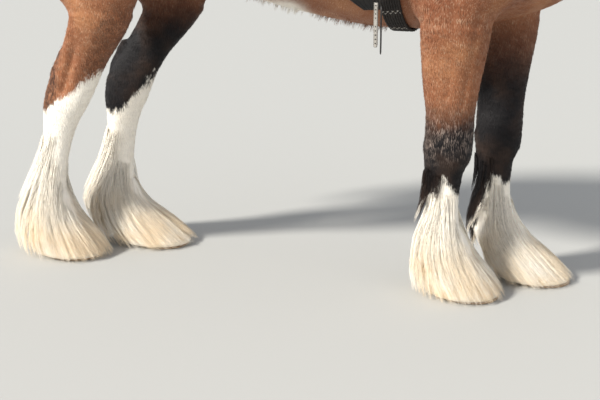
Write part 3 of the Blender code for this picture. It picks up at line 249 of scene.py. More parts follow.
# How far the feather reaches from the leg's middle line at each height: ahead, behind, to the side
FEATHER_REACH = {
    Limb.FORE: (
        (0.44, 0.056, 0.070, 0.048),
        (0.36, 0.058, 0.080, 0.050),
        (0.27, 0.080, 0.096, 0.066),
        (0.17, 0.105, 0.122, 0.092),
        (0.09, 0.121, 0.162, 0.125),
        (0.0, 0.130, 0.195, 0.140),
    ),
    Limb.HIND: (
        (0.52, 0.056, 0.070, 0.046),
        (0.38, 0.058, 0.090, 0.048),
        (0.28, 0.076, 0.122, 0.064),
        (0.17, 0.100, 0.175, 0.092),
        (0.09, 0.136, 0.212, 0.128),
        (0.0, 0.156, 0.225, 0.145),
    ),
}
TAIL_PATH = ((-0.82, 1.50), (-0.90, 1.525), (-0.955, 1.47), (-0.985, 1.37), (-1.0, 1.26), (-1.0, 1.16))
TAIL_RADII = (0.055, 0.055, 0.048, 0.040, 0.032, 0.018)
EYE_ALONG = 0.222
EYE_SIDE = 0.089
EYE_OUT = -0.088
EYE_RADIUS = 0.026


def curve_through(knots: Sequence[float], values: Sequence[float], where: float | Array) -> Array:
    """Smooth curve through the named stations that makes no bump between them.

    Args:
        knots: Stations, rising or falling.
        values: Value at each station.
        where: Stations to read.

    Returns:
        The values there.
    """
    knots = np.asarray(knots, float)
    values = np.asarray(values, float)
    if knots[0] > knots[-1]:
        knots = knots[::-1]
        values = values[::-1]
    steps = np.diff(knots)
    rises = np.diff(values) / steps
    slopes = np.zeros(len(knots))
    slopes[0] = rises[0]
    slopes[-1] = rises[-1]
    for i in range(1, len(knots) - 1):
        if rises[i - 1] * rises[i] > 0:
            slopes[i] = 2 * rises[i - 1] * rises[i] / (rises[i - 1] + rises[i])
    where = np.clip(where, knots[0], knots[-1])
    i = np.clip(np.searchsorted(knots, where) - 1, 0, len(steps) - 1)
    t = (where - knots[i]) / steps[i]
    from_value = values[i] * (2 * t**3 - 3 * t**2 + 1) + values[i + 1] * (3 * t**2 - 2 * t**3)
    from_slope = slopes[i] * (t**3 - 2 * t**2 + t) + slopes[i + 1] * (t**3 - t**2)
    return from_value + from_slope * steps[i]


def columns_at(table: Sequence[tuple], where: float | Array, columns: Iterable[int]) -> list:
    """Reads several columns of a table of sections at stations of its first column."""
    cells = np.array(table)
    return [curve_through(cells[:, 0], cells[:, i], where) for i in columns]


def eased(low: float, high: float, values: Array) -> Array:
    """Rises smoothly from 0 at low to 1 at high."""
    t = np.clip((np.asarray(values, float) - low) / (high - low), 0.0, 1.0)
    return t * t * (3 - 2 * t)


def unit(rows: Array) -> Array:
    """Brings each row of vectors to length 1."""
    return rows / np.maximum(np.linalg.norm(rows, axis=-1, keepdims=True), 1e-9)


def new_object(name: str, bm: bmesh.types.BMesh) -> bpy.types.Object:
    """Turns a bmesh into a named object whose faces point out."""
    bmesh.ops.recalc_face_normals(bm, faces=bm.faces)
    mesh = bpy.data.meshes.new(name)
    bm.to_mesh(mesh)
    bm.free()
    return link_object(name, mesh)


def link_object(name: str, data: bpy.types.ID) -> bpy.types.Object:
    """Puts a mesh, a lamp or a camera into the scene as an object."""
    obj = bpy.data.objects.new(name, data)
    bpy.context.scene.collection.objects.link(obj)
    return obj


def store(mesh: bpy.types.Mesh, label: str, rows: Array) -> None:
    """Keeps a number or a vector for each vertex of a mesh as an attribute."""
    kind, field = ("FLOAT_VECTOR", "vector") if rows.ndim == 2 else ("FLOAT", "value")
    layer = mesh.attributes.new(label, kind, "POINT")
    layer.data.foreach_set(field, rows.astype(np.float32).ravel())


def forget(mesh: bpy.types.Mesh, labels: Sequence[str]) -> None:
    """Removes attributes that no material reads."""
    for label in labels:
        if label in mesh.attributes:
            mesh.attributes.remove(mesh.attributes[label])


def loft(name: str, rings: Sequence[Sequence[Vector]], closed: bool = False) -> bpy.types.Object:
    """Closed skin through a row of rings.

    Args:
        name: Name of the new object.
        rings: Rings of equally many points.
        closed: True where the last ring joins the first, so that no end needs a cap.

    Returns:
        The new object.
    """
    bm = bmesh.new()
    rows = [[bm.verts.new(point) for point in ring] for ring in rings]
    count = len(rows[0])
    following_rows = rows[1:] + (rows[:1] if closed else [])
    for row, following in zip(rows, following_rows):
        for i in range(count):
            j = (i + 1) % count
            bm.faces.new((row[i], row[j], following[j], following[i]))
    if not closed:
        bm.faces.new(rows[0][::-1])
        bm.faces.new(rows[-1])
    return new_object(name, bm)


def superellipse(
    centre: Vector,
    first: Vector,
    second: Vector,
    reach_first: tuple[float, float],
    reach_second: tuple[float, float],
    roundness: float,
    count: int,
) -> list[Vector]:
    """Closed ring about a centre, with its own reach each way along two axes."""
    ring = []
    for i in range(count):
        angle = TAU * i / count
        c = math.cos(angle)
        s = math.sin(angle)
        a = math.copysign(abs(c) ** (2 / roundness), c) * reach_first[c < 0]
        b = math.copysign(abs(s) ** (2 / roundness), s) * reach_second[s < 0]
        ring.append(centre + first * a + second * b)
    return ring


def remove(objects: Iterable[bpy.types.Object]) -> None:
    """Removes objects that have done their work."""
    for obj in list(objects):
        bpy.data.objects.remove(obj)


def apply_modifiers(obj: bpy.types.Object) -> None:
    """Makes what the modifiers show the object's own mesh."""
    depsgraph = bpy.context.evaluated_depsgraph_get()
    mesh = bpy.data.meshes.new_from_object(obj.evaluated_get(depsgraph))
    obj.modifiers.clear()
    obj.data = mesh


def combine(obj: bpy.types.Object, others: list[bpy.types.Object], operation: str) -> None:
    """Cuts or joins an object with closed objects, then removes those.

    Args:
        obj: Object to change.
        others: Tools, which are removed.
        operation: UNION or DIFFERENCE.
    """
    tools = bpy.data.collections.new("tools")
    for other in others:
        tools.objects.link(other)
    boolean = obj.modifiers.new("combine", "BOOLEAN")
    boolean.operation = operation
    boolean.operand_type = "COLLECTION"
    boolean.collection = tools
    boolean.solver = "MANIFOLD"
    apply_modifiers(obj)
    remove(others)
    bpy.data.collections.remove(tools)


def finish_piece(
    obj: bpy.types.Object,
    material: bpy.types.Material,
    nodes: Sequence[str] = (),
    smooth: bool = True,
) -> bpy.types.Object:
    """Args:
        obj: Finished piece, with its place in its mesh.
        material: Its finish.
        nodes: Nodes of the frame that the piece stands for.
        smooth: True for smooth shading.

    Returns:
        The piece.
    """
    obj.data.transform(Matrix.Translation((SHIFT, 0, 0)))
    obj.data.materials.clear()
    obj.data.materials.append(material)
    if smooth:
        obj.data.shade_smooth()
    else:
        obj.data.shade_flat()
    obj.data.name = obj.name
    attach(obj, "root")
    if nodes:
        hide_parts(*nodes)
    LOG.info("%s: %d faces", obj.name, len(obj.data.polygons))
    return obj


# The body's frames


FACE_DOWN = Vector((math.cos(FACE_SLOPE), 0, -math.sin(FACE_SLOPE)))
FACE_OUT = Vector((math.sin(FACE_SLOPE), 0, math.cos(FACE_SLOPE)))


def on_head(along: float, side: float, out: float) -> Vector:
    """Place on the head: down the face from the poll, to the left, and out of the face."""
    return POLL + FACE_DOWN * along + Vector((0, side, 0)) + FACE_OUT * out


def turned(vector: Vector, degrees: float) -> Vector:
    """A level vector turned about Z."""
    return Matrix.Rotation(math.radians(degrees), 3, "Z") @ vector


@dataclass(frozen=True)
class Leg:
    """One leg: where its line runs and how thick it is."""

    limb: Limb
    side: Side

    @property
    def name(self) -> str:
        """Name of the leg in words."""
        return f"{self.side.name.lower()}_{self.limb.value}"

    @property
    def pose(self) -> LegPose:
        """How this leg stands."""
        return LEG_POSES[self.limb, self.side]

    def axis(self, height: float) -> Vector:
        """Where the line through the leg's joints is at one height."""
        x = float(curve_through(self.pose.heights, self.pose.xs, height))
        y = float(curve_through(self.pose.heights, self.pose.ys, height))
        return Vector((x, self.side.value * y, height))

    def frame(self, height: float) -> tuple[Vector, Vector, Vector]:
        """Leg's middle at a height, with its own forward and outward directions."""
        turn = self.side.value * self.pose.toe_out * min(1.0, max(0.0, (0.5 - height) / 0.3))
        forward = turned(Vector((1, 0, 0)), turn)
        outward = turned(Vector((0, self.side.value, 0)), turn)
        return self.axis(height), forward, outward

    def form(self, top: float, bottom: float, count: int) -> bpy.types.Object:
        """The leg, or a length of it, between two heights."""
        rings = []
        for height in np.linspace(top, bottom, count):
            ahead, behind, outside, inside = columns_at(LEG_SECTIONS[self.limb], height, range(1, 5))
            middle, forward, outward = self.frame(height)
            rings.append(
                superellipse(middle, forward, outward, (ahead, behind), (outside, inside), 2.15, 28)
            )
        return loft("leg", rings)

    def hair_place(self, angle: float, height: float, share: float) -> tuple[Vector, Vector]:
        """Place in the feather, and the way it faces.

        Args:
            angle: Turn round the leg from straight ahead towards its outer side.
            height: Height above the ground.
            share: 0 on the skin, 1 at the feather's outside.

        Returns:
            The place and its outward direction.
        """
        bare = columns_at(LEG_SECTIONS[self.limb], max(height, 0.055), (1, 2, 3))
        full = columns_at(FEATHER_REACH[self.limb], height, (1, 2, 3))
        ahead, behind, beside = (float(b + (f - b) * share) for b, f in zip(bare, full))
        middle, forward, outward = self.frame(height)
        along = math.cos(angle) * (ahead if math.cos(angle) > 0 else behind)
        across = math.sin(angle) * beside
        place = middle + forward * along + outward * across
        return place, (place - middle).normalized()


LEGS = tuple(Leg(limb, side) for limb in Limb for side in Side)


def neck_crest(t: float) -> Vector:
    """Point on the crest, from the withers at 0 to the poll at 1."""
    at = np.linspace(0, 1, len(NECK))
    x = float(curve_through(at, [section.crest_x for section in NECK], t))
    z = float(curve_through(at, [section.crest_z for section in NECK], t))
    return Vector((x, 0, z))


def tail_point(t: float) -> Vector:
    """Point on the dock's middle line, from its root at 0 to its tip at 1."""
    at = np.linspace(0, 1, len(TAIL_PATH))
    x = float(curve_through(at, [p[0] for p in TAIL_PATH], t))
    z = float(curve_through(at, [p[1] for p in TAIL_PATH], t))
    return Vector((x, 0, z))


def nostril_middle(side: Side) -> Vector:
    """Middle of one nostril's opening."""
    return on_head(0.634, side.value * 0.068, -0.068)


def ear_frame(side: Side) -> tuple[Vector, Vector, Vector, Vector]:
    """Middle of an ear's root, with the ways that it points, opens and spreads."""
    base = on_head(0.018, side.value * 0.060, -0.022)
    axis = Vector((0.20, side.value * 0.20, 0.96)).normalized()
    facing = Vector((0.80, side.value * 0.60, 0.0))
    facing = (facing - axis * axis.dot(facing)).normalized()
    return base, axis, facing, axis.cross(facing)


# The flesh


class Groove(NamedTuple):
    """A soft line pressed into the flesh: points on its right side, half width and depth."""

    points: tuple[tuple[float, float, float], ...]
    width: float
    depth: float


GROOVES = (
    # Behind the shoulder blade and under the triceps
    Groove(
        ((0.47, -0.25, 1.62), (0.50, -0.30, 1.40), (0.56, -0.33, 1.20), (0.60, -0.31, 1.07)), 0.035, 0.010
    ),
    # Between shoulder blade and upper arm
    Groove(((0.62, -0.28, 1.40), (0.76, -0.30, 1.33), (0.88, -0.27, 1.25)), 0.030, 0.007),
    # Along the neck above the windpipe
    Groove(
        ((1.24, -0.09, 1.78), (1.17, -0.14, 1.62), (1.10, -0.17, 1.45), (1.02, -0.19, 1.30)), 0.022, 0.008
    ),
    # Between the muscles of the forearm
    Groove(((0.66, -0.30, 1.00), (0.645, -0.25, 0.85), (0.63, -0.21, 0.68)), 0.014, 0.005),
    Groove(((0.735, -0.27, 0.95), (0.70, -0.23, 0.80), (0.675, -0.20, 0.66)), 0.012, 0.004),
    # Behind the thigh
    Groove(
        ((-0.70, -0.30, 1.50), (-0.74, -0.31, 1.30), (-0.72, -0.29, 1.12), (-0.66, -0.26, 0.98)), 0.028, 0.009
    ),
    # Flank, from the point of the hip down to the stifle
    Groove(((-0.30, -0.32, 1.52), (-0.26, -0.34, 1.34), (-0.30, -0.33, 1.16)), 0.045, 0.010),
    # Between breast muscle and upper arm
    Groove(((0.99, -0.16, 1.32), (0.98, -0.19, 1.18), (0.94, -0.20, 1.06)), 0.022, 0.010),
    # Hollow of the hock, in front of its tendon
    Groove(((-0.69, -0.20, 0.80), (-0.74, -0.19, 0.70), (-0.775, -0.18, 0.62)), 0.016, 0.010),
    # Folds of skin behind the elbow
    Groove(((0.500, -0.31, 1.06), (0.512, -0.28, 0.98), (0.520, -0.22, 0.90)), 0.008, 0.006),
    Groove(((0.528, -0.31, 1.04), (0.536, -0.28, 0.97), (0.542, -0.22, 0.90)), 0.008, 0.006),
    Groove(((0.556, -0.31, 1.02), (0.560, -0.28, 0.96), (0.564, -0.22, 0.91)), 0.008, 0.005),
    # Tendon behind the near cannon
    Groove(((0.60, -0.18, 0.40), (0.592, -0.17, 0.30), (0.590, -0.17, 0.24)), 0.010, 0.004),
)
MIDLINE_GROOVES = (
    # Between the breast muscles
    Groove(((1.07, 0.0, 1.34), (1.07, 0.0, 1.20), (1.02, 0.0, 1.06)), 0.022, 0.016),
    # Down the croup and along the back
    Groove(((-0.90, 0.0, 1.58), (-0.60, 0.0, 1.74), (-0.30, 0.0, 1.77)), 0.022, 0.010),
)


@dataclass
class Flesh:
    """The whole horse without hair, hooves, eyes and tack, as one smooth skin."""

    core_voxel: float = 0.02
    core_blend: int = 24
    voxel: float = 0.0052
    blend: int = 26
    triangles: int = 186000
    ring: int = 36
    ear_length: float = 0.178
    lid_thickness: float = 0.0045
    lid_half_length: float = 0.0235
    lid_half_height: float = 0.0150
    mouth_corner: float = 0.572
    mouth_front: float = 0.722
    mouth_out: float = -0.126
    mouth_depth: float = 0.014

    def ellipsoid(self, centre: Vector, radii: tuple, tilt: float = 0.0) -> bpy.types.Object:
        """Muscle form: an ellipsoid, tilted nose-down about the Y axis."""
        bm = bmesh.new()
        bmesh.ops.create_uvsphere(bm, u_segments=28, v_segments=14, radius=1.0)
        turn = Matrix.Rotation(tilt, 4, "Y")
        matrix = Matrix.Translation(centre) @ turn @ Matrix.Diagonal((*radii, 1.0))
        bmesh.ops.transform(bm, matrix=matrix, verts=bm.verts)
        return new_object("form", bm)

    def limb(
        self,
        start: Sequence[float],
        end: Sequence[float],
        radii: tuple[float, float],
        flatness: float = 1.0,
    ) -> bpy.types.Object:
        """Muscle or bone form: a tapering bar with round ends.

        Args:
            start: Middle of its first end.
            end: Middle of its last end.
            radii: Radius at each end.
            flatness: Share of the radius across Y.

        Returns:
            The form.
        """
        start = Vector(start)
        end = Vector(end)
        axis = (end - start).normalized()
        across = (Vector((0, 1, 0)) - axis * axis.y).normalized()
        upward = axis.cross(across)
        rings = []
        steps = 8
        for place, radius, outward in ((start, radii[0], -1), (end, radii[1], 1)):
            for i in range(steps + 1):
                angle = math.pi / 2 * (1 - i / steps if outward < 0 else i / steps)
                centre = place + axis * outward * radius * math.sin(angle) * 0.98
                size = radius * math.cos(angle) + 0.001
                rings.append(
                    superellipse(centre, across, upward, (size * flatness,) * 2, (size,) * 2, 2.0, 20)
                )
        return loft("form", rings)

    def trunk(self) -> bpy.types.Object:
        """Barrel, loins, croup and breast."""
        rings = []
        for x in np.linspace(TRUNK[0].x, TRUNK[-1].x, 60):
            top, bottom, half_width, widest, above, below = columns_at(TRUNK, x, range(1, 7))
            ring = []
            for i in range(self.ring):
                angle = TAU * i / self.ring
                c = math.cos(angle)
                s = math.sin(angle)
                power = 2 / (above if s > 0 else below)
                rise = abs(s) ** power * ((top - widest) if s > 0 else (bottom - widest))
                ring.append(Vector((x, math.copysign(abs(c) ** power, c) * half_width, widest + rise)))
            rings.append(ring)
        return loft("trunk", rings)

    def neck(self) -> bpy.types.Object:
        """Neck from the withers and breast to the poll, narrow at its crest."""
        at = np.arange(len(NECK))
        cells = np.array(NECK)
        rings = []
        for t in np.linspace(0, len(NECK) - 1, 30):
            crest_x, crest_z, throat_x, throat_z, half_width = (
                float(curve_through(at, cells[:, i], t)) for i in range(5)
            )
            crest = Vector((crest_x, 0, crest_z))
            throat = Vector((throat_x, 0, throat_z))
            upward = (crest - throat).normalized()
            depth = (crest - throat).length
            rings.append(
                superellipse(
                    throat + upward * depth * 0.42,
                    Vector((0, 1, 0)),
                    upward,
                    (half_width, half_width),
                    (depth * 0.58, depth * 0.42),
                    1.85,
                    self.ring,
                )
            )
        return loft("neck", rings)

    def skull(self) -> bpy.types.Object:
        """Head's main form, from behind the poll to the lips."""
        rings = []
        for along in np.linspace(HEAD[0].along, HEAD[-1].along, 40):
            face, jaw, half_width, roundness = columns_at(HEAD, along, range(1, 5))
            middle = float(face + (jaw - face) * 0.45)
            rings.append(
                superellipse(
                    on_head(along, 0, middle),
                    Vector((0, 1, 0)),
                    FACE_OUT,
                    (float(half_width), float(half_width)),
                    (float(face) - middle, middle - float(jaw)),
                    float(roundness),
                    self.ring,
                )
            )
        return loft("skull", rings)

    def head(self) -> list[bpy.types.Object]:
        """Skull with cheeks, brows, facial crests, nostril rims, lips and chin."""
        forms = [self.skull()]
        middle_forms = (
            (0.655, -0.098, (0.047, 0.054, 0.045)),
            (0.622, -0.158, (0.046, 0.040, 0.026)),
        )
        for along, out, radii in middle_forms:
            forms.append(self.ellipsoid(on_head(along, 0, out), radii, FACE_SLOPE))
        side_forms = (
            (0.165, 0.064, -0.205, (0.128, 0.056, 0.112)),
            (EYE_ALONG - 0.012, 0.090, -0.060, (0.056, 0.030, 0.026)),
            (EYE_ALONG + 0.004, 0.084, -0.090, (0.052, 0.030, 0.044)),
            (0.630, 0.047, -0.064, (0.046, 0.027, 0.042)),
            (0.09, 0.058, -0.062, (0.11, 0.050, 0.064)),
        )
        for side in Side:
            for along, across, out, radii in side_forms:
                forms.append(self.ellipsoid(on_head(along, side.value * across, out), radii, FACE_SLOPE))
            forms.append(
                self.limb(
                    on_head(0.26, side.value * 0.087, -0.132),
                    on_head(0.45, side.value * 0.067, -0.114),
                    (0.023, 0.014),
                )
            )
        return forms

    def shoulder(self, side: Side) -> list[bpy.types.Object]:
        """Shoulder blade, upper arm, triceps and breast muscle on one side."""
        s = side.value
        elbow = LEG_POSES[Limb.FORE, side].xs[1]
        point = Vector((0.945, s * 0.175, 1.23))
        arm_end = Vector((elbow + 0.02, s * 0.20, 1.03))
        return [
            self.limb((0.60, s * 0.105, 1.58), point, (0.13, 0.155), 0.85),
            self.limb(point, arm_end, (0.15, 0.135), 0.8),
            self.limb((elbow - 0.08, s * 0.165, 1.38), arm_end, (0.17, 0.13), 0.8),
            self.ellipsoid(Vector((0.965, s * 0.10, 1.15)), (0.12, 0.11, 0.15)),
        ]

    def quarter(self, side: Side) -> list[bpy.types.Object]:
        """Rump, point of hip, thigh, buttock and stifle on one side."""
        s = side.value
        knee = LEG_POSES[Limb.HIND, side].xs[1]
        return [
            self.limb((-0.38, s * 0.15, 1.55), (-0.76, s * 0.13, 1.47), (0.18, 0.15), 0.95),
            self.ellipsoid(Vector((-0.34, s * 0.215, 1.50)), (0.15, 0.10, 0.14)),
            self.limb((-0.56, s * 0.17, 1.40), (knee - 0.02, s * 0.185, 1.08), (0.22, 0.165), 0.75),
            self.limb((-0.815, s * 0.12, 1.42), (knee - 0.115, s * 0.175, 1.00), (0.135, 0.095), 0.9),
            self.ellipsoid(Vector((knee + 0.10, s * 0.215, 1.11)), (0.11, 0.09, 0.14)),
        ]

    def joint_bones(self, leg: Leg) -> list[bpy.types.Object]:
        """Bony forms that show under the skin at one leg's joints."""
        s = leg.side.value
        forms = []
        if leg.limb is Limb.HIND:
            point = leg.axis(0.66)
            tendon_top = point + Vector((-0.040, 0, 0.10))
            heel = point + Vector((-0.080, 0, 0.015))
            forms.append(self.limb(tendon_top, heel, (0.022, 0.026), 0.9))
            low = leg.axis(0.585)
            forms.append(self.ellipsoid(low + Vector((0.012, -s * 0.030, 0)), (0.052, 0.030, 0.060)))
            forms.append(self.ellipsoid(low + Vector((0.0, s * 0.028, -0.01)), (0.044, 0.028, 0.055)))
        else:
            knee = leg.axis(0.50)
            forms.append(self.ellipsoid(knee + Vector((-0.060, 0, 0.0)), (0.026, 0.034, 0.042)))
            forms.append(self.ellipsoid(knee + Vector((0.030, s * 0.022, -0.002)), (0.046, 0.040, 0.052)))
            forms.append(self.ellipsoid(knee + Vector((0.030, -s * 0.022, 0.008)), (0.046, 0.040, 0.050)))
        return forms

    def dock(self) -> bpy.types.Object:
        """Fleshy root of the tail."""
        rings = []
        at = np.linspace(0, 1, len(TAIL_RADII))
        for t in np.linspace(0, 1, 14):
            ahead = tail_point(min(1.0, t + 0.03)) - tail_point(max(0.0, t - 0.03))
            upward = ahead.normalized().cross(Vector((0, 1, 0)))
            radius = float(curve_through(at, TAIL_RADII, t))
            rings.append(
                superellipse(
                    tail_point(t), Vector((0, 1, 0)), upward, (radius,) * 2, (radius * 0.85,) * 2, 2.0, 20
                )
            )
        return loft("tail", rings)

    def ear(self, side: Side) -> bpy.types.Object:
        """Ear, a pointed leaf rolled into a deep cup that opens forwards and outwards."""
        base, axis, facing, across = ear_frame(side)
        count = 22
        rings = []
        for t in np.linspace(0, 1, 22) ** 0.9:
            radius = 0.0012 + (0.031 + 0.010 * math.sin(math.pi * t)) * (1 - t**3.5)
            wall = 0.0045 + radius * 0.9 * max(0.0, 1 - t / 0.2) - 0.002 * t
            inner = max(radius * 0.3, radius - wall)
            opening = math.radians(14 + 66 * t**0.8)
            centre = base + axis * self.ear_length * t - facing * 0.018 * math.sin(math.pi * t)
            outside = []
            inside = []
            for i in range(count):
                angle = opening + (TAU - 2 * opening) * i / (count - 1)
                direction = facing * math.cos(angle) + across * math.sin(angle)
                outside.append(centre + direction * radius)
                inside.append(centre + direction * inner)
            rings.append(outside + inside[::-1])
        return loft("ear", rings)

    def eye_frame(self, side: Side) -> tuple[Vector, Vector]:
        """Middle of an eyeball, and the way it looks."""
        centre = on_head(EYE_ALONG, side.value * EYE_SIDE, EYE_OUT)
        return centre, Vector((0.36, side.value * 0.93, 0.02)).normalized()

    def lid_bulge(self, side: Side) -> bpy.types.Object:
        """Round form that the lids are cut from."""
        centre, look = self.eye_frame(side)
        bm = bmesh.new()
        bmesh.ops.create_uvsphere(bm, u_segments=40, v_segments=24, radius=EYE_RADIUS + self.lid_thickness)
        turn = look.to_track_quat("Z", "Y").to_matrix().to_4x4()
        bmesh.ops.transform(bm, matrix=Matrix.Translation(centre) @ turn, verts=bm.verts)
        return new_object("lids", bm)

    def lid_opening(self, side: Side) -> bpy.types.Object:
        """Almond-shaped cutter between the lids."""
        centre, look = self.eye_frame(side)
        slant = (FACE_DOWN + Vector((1, 0, 0))).normalized()
        length = (slant - look * look.dot(slant)).normalized()
        height = look.cross(length).normalized()
        rings = []
        for reach, spread in ((0.008, 0.7), (0.020, 0.92), (0.030, 1.05), (0.050, 1.6)):
            ring = []
            for i in range(30):
                angle = TAU * i / 30
                x = math.cos(angle)
                y = math.sin(angle) * (1 - 0.45 * x * x)
                flat = length * x * self.lid_half_length + height * y * self.lid_half_height
                ring.append(centre + look * reach + flat * spread)
            rings.append(ring)
        return loft("lid_opening", rings)

    def socket(self, side: Side) -> bpy.types.Object:
        """Hollow behind the lids that holds the eyeball."""
        centre, look = self.eye_frame(side)
        bm = bmesh.new()
        bmesh.ops.create_uvsphere(bm, u_segments=32, v_segments=20, radius=EYE_RADIUS + GAP)
        bmesh.ops.transform(bm, matrix=Matrix.Translation(centre), verts=bm.verts)
        return new_object("socket", bm)

    def nostril(self, side: Side) -> bpy.types.Object:
        """Cutter for one nostril, a slanting drop-shaped opening that runs back into the muzzle."""
        centre = nostril_middle(side)
        inward = (FACE_DOWN * -0.42 + Vector((0, -side.value, 0)) * 0.9 - FACE_OUT * 0.05).normalized()
        length = FACE_DOWN * 0.75 - FACE_OUT * 0.66
        length = (length - inward * inward.dot(length)).normalized()
        width = inward.cross(length)
        rings = []
        for depth, half_length, half_width in (
            (-0.035, 0.030, 0.014),
            (-0.006, 0.025, 0.011),
            (0.012, 0.018, 0.008),
            (0.032, 0.008, 0.004),
        ):
            ring = []
            for i in range(24):
                angle = TAU * i / 24
                x = math.cos(angle)
                y = math.sin(angle) * (1 + 0.4 * x)
                ring.append(centre + inward * depth + length * x * half_length + width * y * half_width)
            rings.append(ring)
        return loft("nostril", rings)

    def mouth(self) -> bpy.types.Object:
        """Cutter for the line of the mouth, a thin blade bent round the muzzle."""
        rings = []
        for t in np.linspace(-1, 1, 33):
            turn = t * math.pi / 2
            along = self.mouth_corner + (self.mouth_front - self.mouth_corner) * math.cos(turn) ** 0.6
            half_width = float(columns_at(HEAD, along, (3,))[0]) * 0.97
            out = self.mouth_out - 0.012 * abs(t)
            lip = on_head(along, math.sin(turn) * half_width, out)
            inward = (on_head(self.mouth_corner - 0.02, 0, out) - lip).normalized()
            deep = self.mouth_depth
            corners = ((-0.02, 0.0045), (deep, 0.0006), (deep, -0.0006), (-0.02, -0.0045))
            rings.append([lip + inward * depth + FACE_OUT * height for depth, height in corners])
        return loft("mouth", rings)

    def fuse(self, forms: list[bpy.types.Object], voxel: float, blend: int) -> bpy.types.Object:
        """Joins overlapping forms into one smooth skin.

        Args:
            forms: Closed forms, which are removed.
            voxel: Size of the finest feature kept.
            blend: Passes of smoothing.

        Returns:
            The joined skin.
        """
        bm = bmesh.new()
        for form in forms:
            bm.from_mesh(form.data)
        remove(forms)
        obj = new_object("skin", bm)
        remesh = obj.modifiers.new("join", "REMESH")
        remesh.mode = "VOXEL"
        remesh.voxel_size = voxel
        smooth = obj.modifiers.new("blend", "SMOOTH")
        smooth.factor = 0.5
        smooth.iterations = blend
        apply_modifiers(obj)
        return obj

    def press_grooves(self, obj: bpy.types.Object) -> None:
        """Presses the lines between the muscles into the skin."""
        points, normals = vertex_arrays(obj.data)
        moved = points.copy()
        for groove in GROOVES + MIDLINE_GROOVES:
            sides = (1.0,) if groove in MIDLINE_GROOVES else (1.0, -1.0)
            for mirror in sides:
                line = [Vector((x, y * mirror, z)) for x, y, z in groove.points]
                nearest = distance_to_line(points, line)
                close = nearest < groove.width * 3
                press = groove.depth * np.exp(-((nearest[close] / groove.width) ** 2))
                moved[close] -= normals[close] * press[:, None]
        obj.data.vertices.foreach_set("co", moved.astype(np.float32).ravel())

    def soften_cuts(self, obj: bpy.types.Object) -> None:
        """Rounds the edges of lids, nostrils and mouth."""
        points, _ = vertex_arrays(obj.data)
        places = [(self.eye_frame(side)[0], EYE_RADIUS + 0.016) for side in Side]
        places += [(nostril_middle(side), 0.040) for side in Side]
        places += [(on_head(0.66, 0, -0.13), 0.085)]
        near = np.zeros(len(points), bool)
        for centre, radius in places:
            near |= np.linalg.norm(points - np.array(centre), axis=1) < radius
        group = obj.vertex_groups.new(name="cuts")
        group.add([int(i) for i in np.flatnonzero(near)], 1.0, "REPLACE")
        smooth = obj.modifiers.new("soften", "SMOOTH")
        smooth.factor = 0.4
        smooth.iterations = 3
        smooth.vertex_group = "cuts"
        apply_modifiers(obj)
        obj.vertex_groups.clear()

    def build(self) -> bpy.types.Object:
        """Builds the skin.

        Returns:
            The skin, in the body's own frame.
        """
        masses = [self.trunk(), self.neck()]
        details = self.head() + [self.dock()]
        for side in Side:
            masses += self.shoulder(side) + self.quarter(side)
        for leg in LEGS:
            sections = LEG_SECTIONS[leg.limb]
            masses.append(leg.form(sections[0].height, LEG_ROOT, 20))
            details.append(leg.form(LEG_TOP, sections[-1].height, 60))
            details += self.joint_bones(leg)
        core = self.fuse(masses, self.core_voxel, self.core_blend)
        skin = self.fuse([core] + details, self.voxel, self.blend)
        self.press_grooves(skin)
        shrink = skin.modifiers.new("coat", "DISPLACE")
        shrink.strength = -COAT_DEPTH
        shrink.mid_level = 0.0
        thin = skin.modifiers.new("thin", "DECIMATE")
        thin.ratio = self.triangles / (2 * len(skin.data.polygons))
        apply_modifiers(skin)
        combine(skin, [self.ear(side) for side in Side], "UNION")
        combine(skin, [self.lid_bulge(side) for side in Side], "UNION")
        cutters = [self.mouth()]
        for side in Side:
            cutters += [self.lid_opening(side), self.nostril(side)]
        combine(skin, cutters, "DIFFERENCE")
        combine(skin, [self.socket(side) for side in Side], "DIFFERENCE")
        self.soften_cuts(skin)
        skin.name = "skin"
        return skin


def vertex_arrays(mesh: bpy.types.Mesh) -> tuple[Array, Array]:
    """Points and normals of a mesh's vertices."""
    points = np.empty(len(mesh.vertices) * 3, np.float32)
    normals = np.empty(len(mesh.vertices) * 3, np.float32)
    mesh.vertices.foreach_get("co", points)
    mesh.vertex_normals.foreach_get("vector", normals)
    return points.reshape(-1, 3).astype(float), normals.reshape(-1, 3).astype(float)


def distance_to_line(points: Array, line: Sequence[Vector]) -> Array:
    """Distance of each point from a line of straight lengths."""
    nearest = np.full(len(points), np.inf)
    for start, end in zip(line, line[1:]):
        a = np.array(start)
        run = np.array(end) - a
        t = np.clip((points - a) @ run / (run @ run), 0, 1)
        nearest = np.minimum(nearest, np.linalg.norm(points - (a + t[:, None] * run), axis=1))
    return nearest


# Node trees


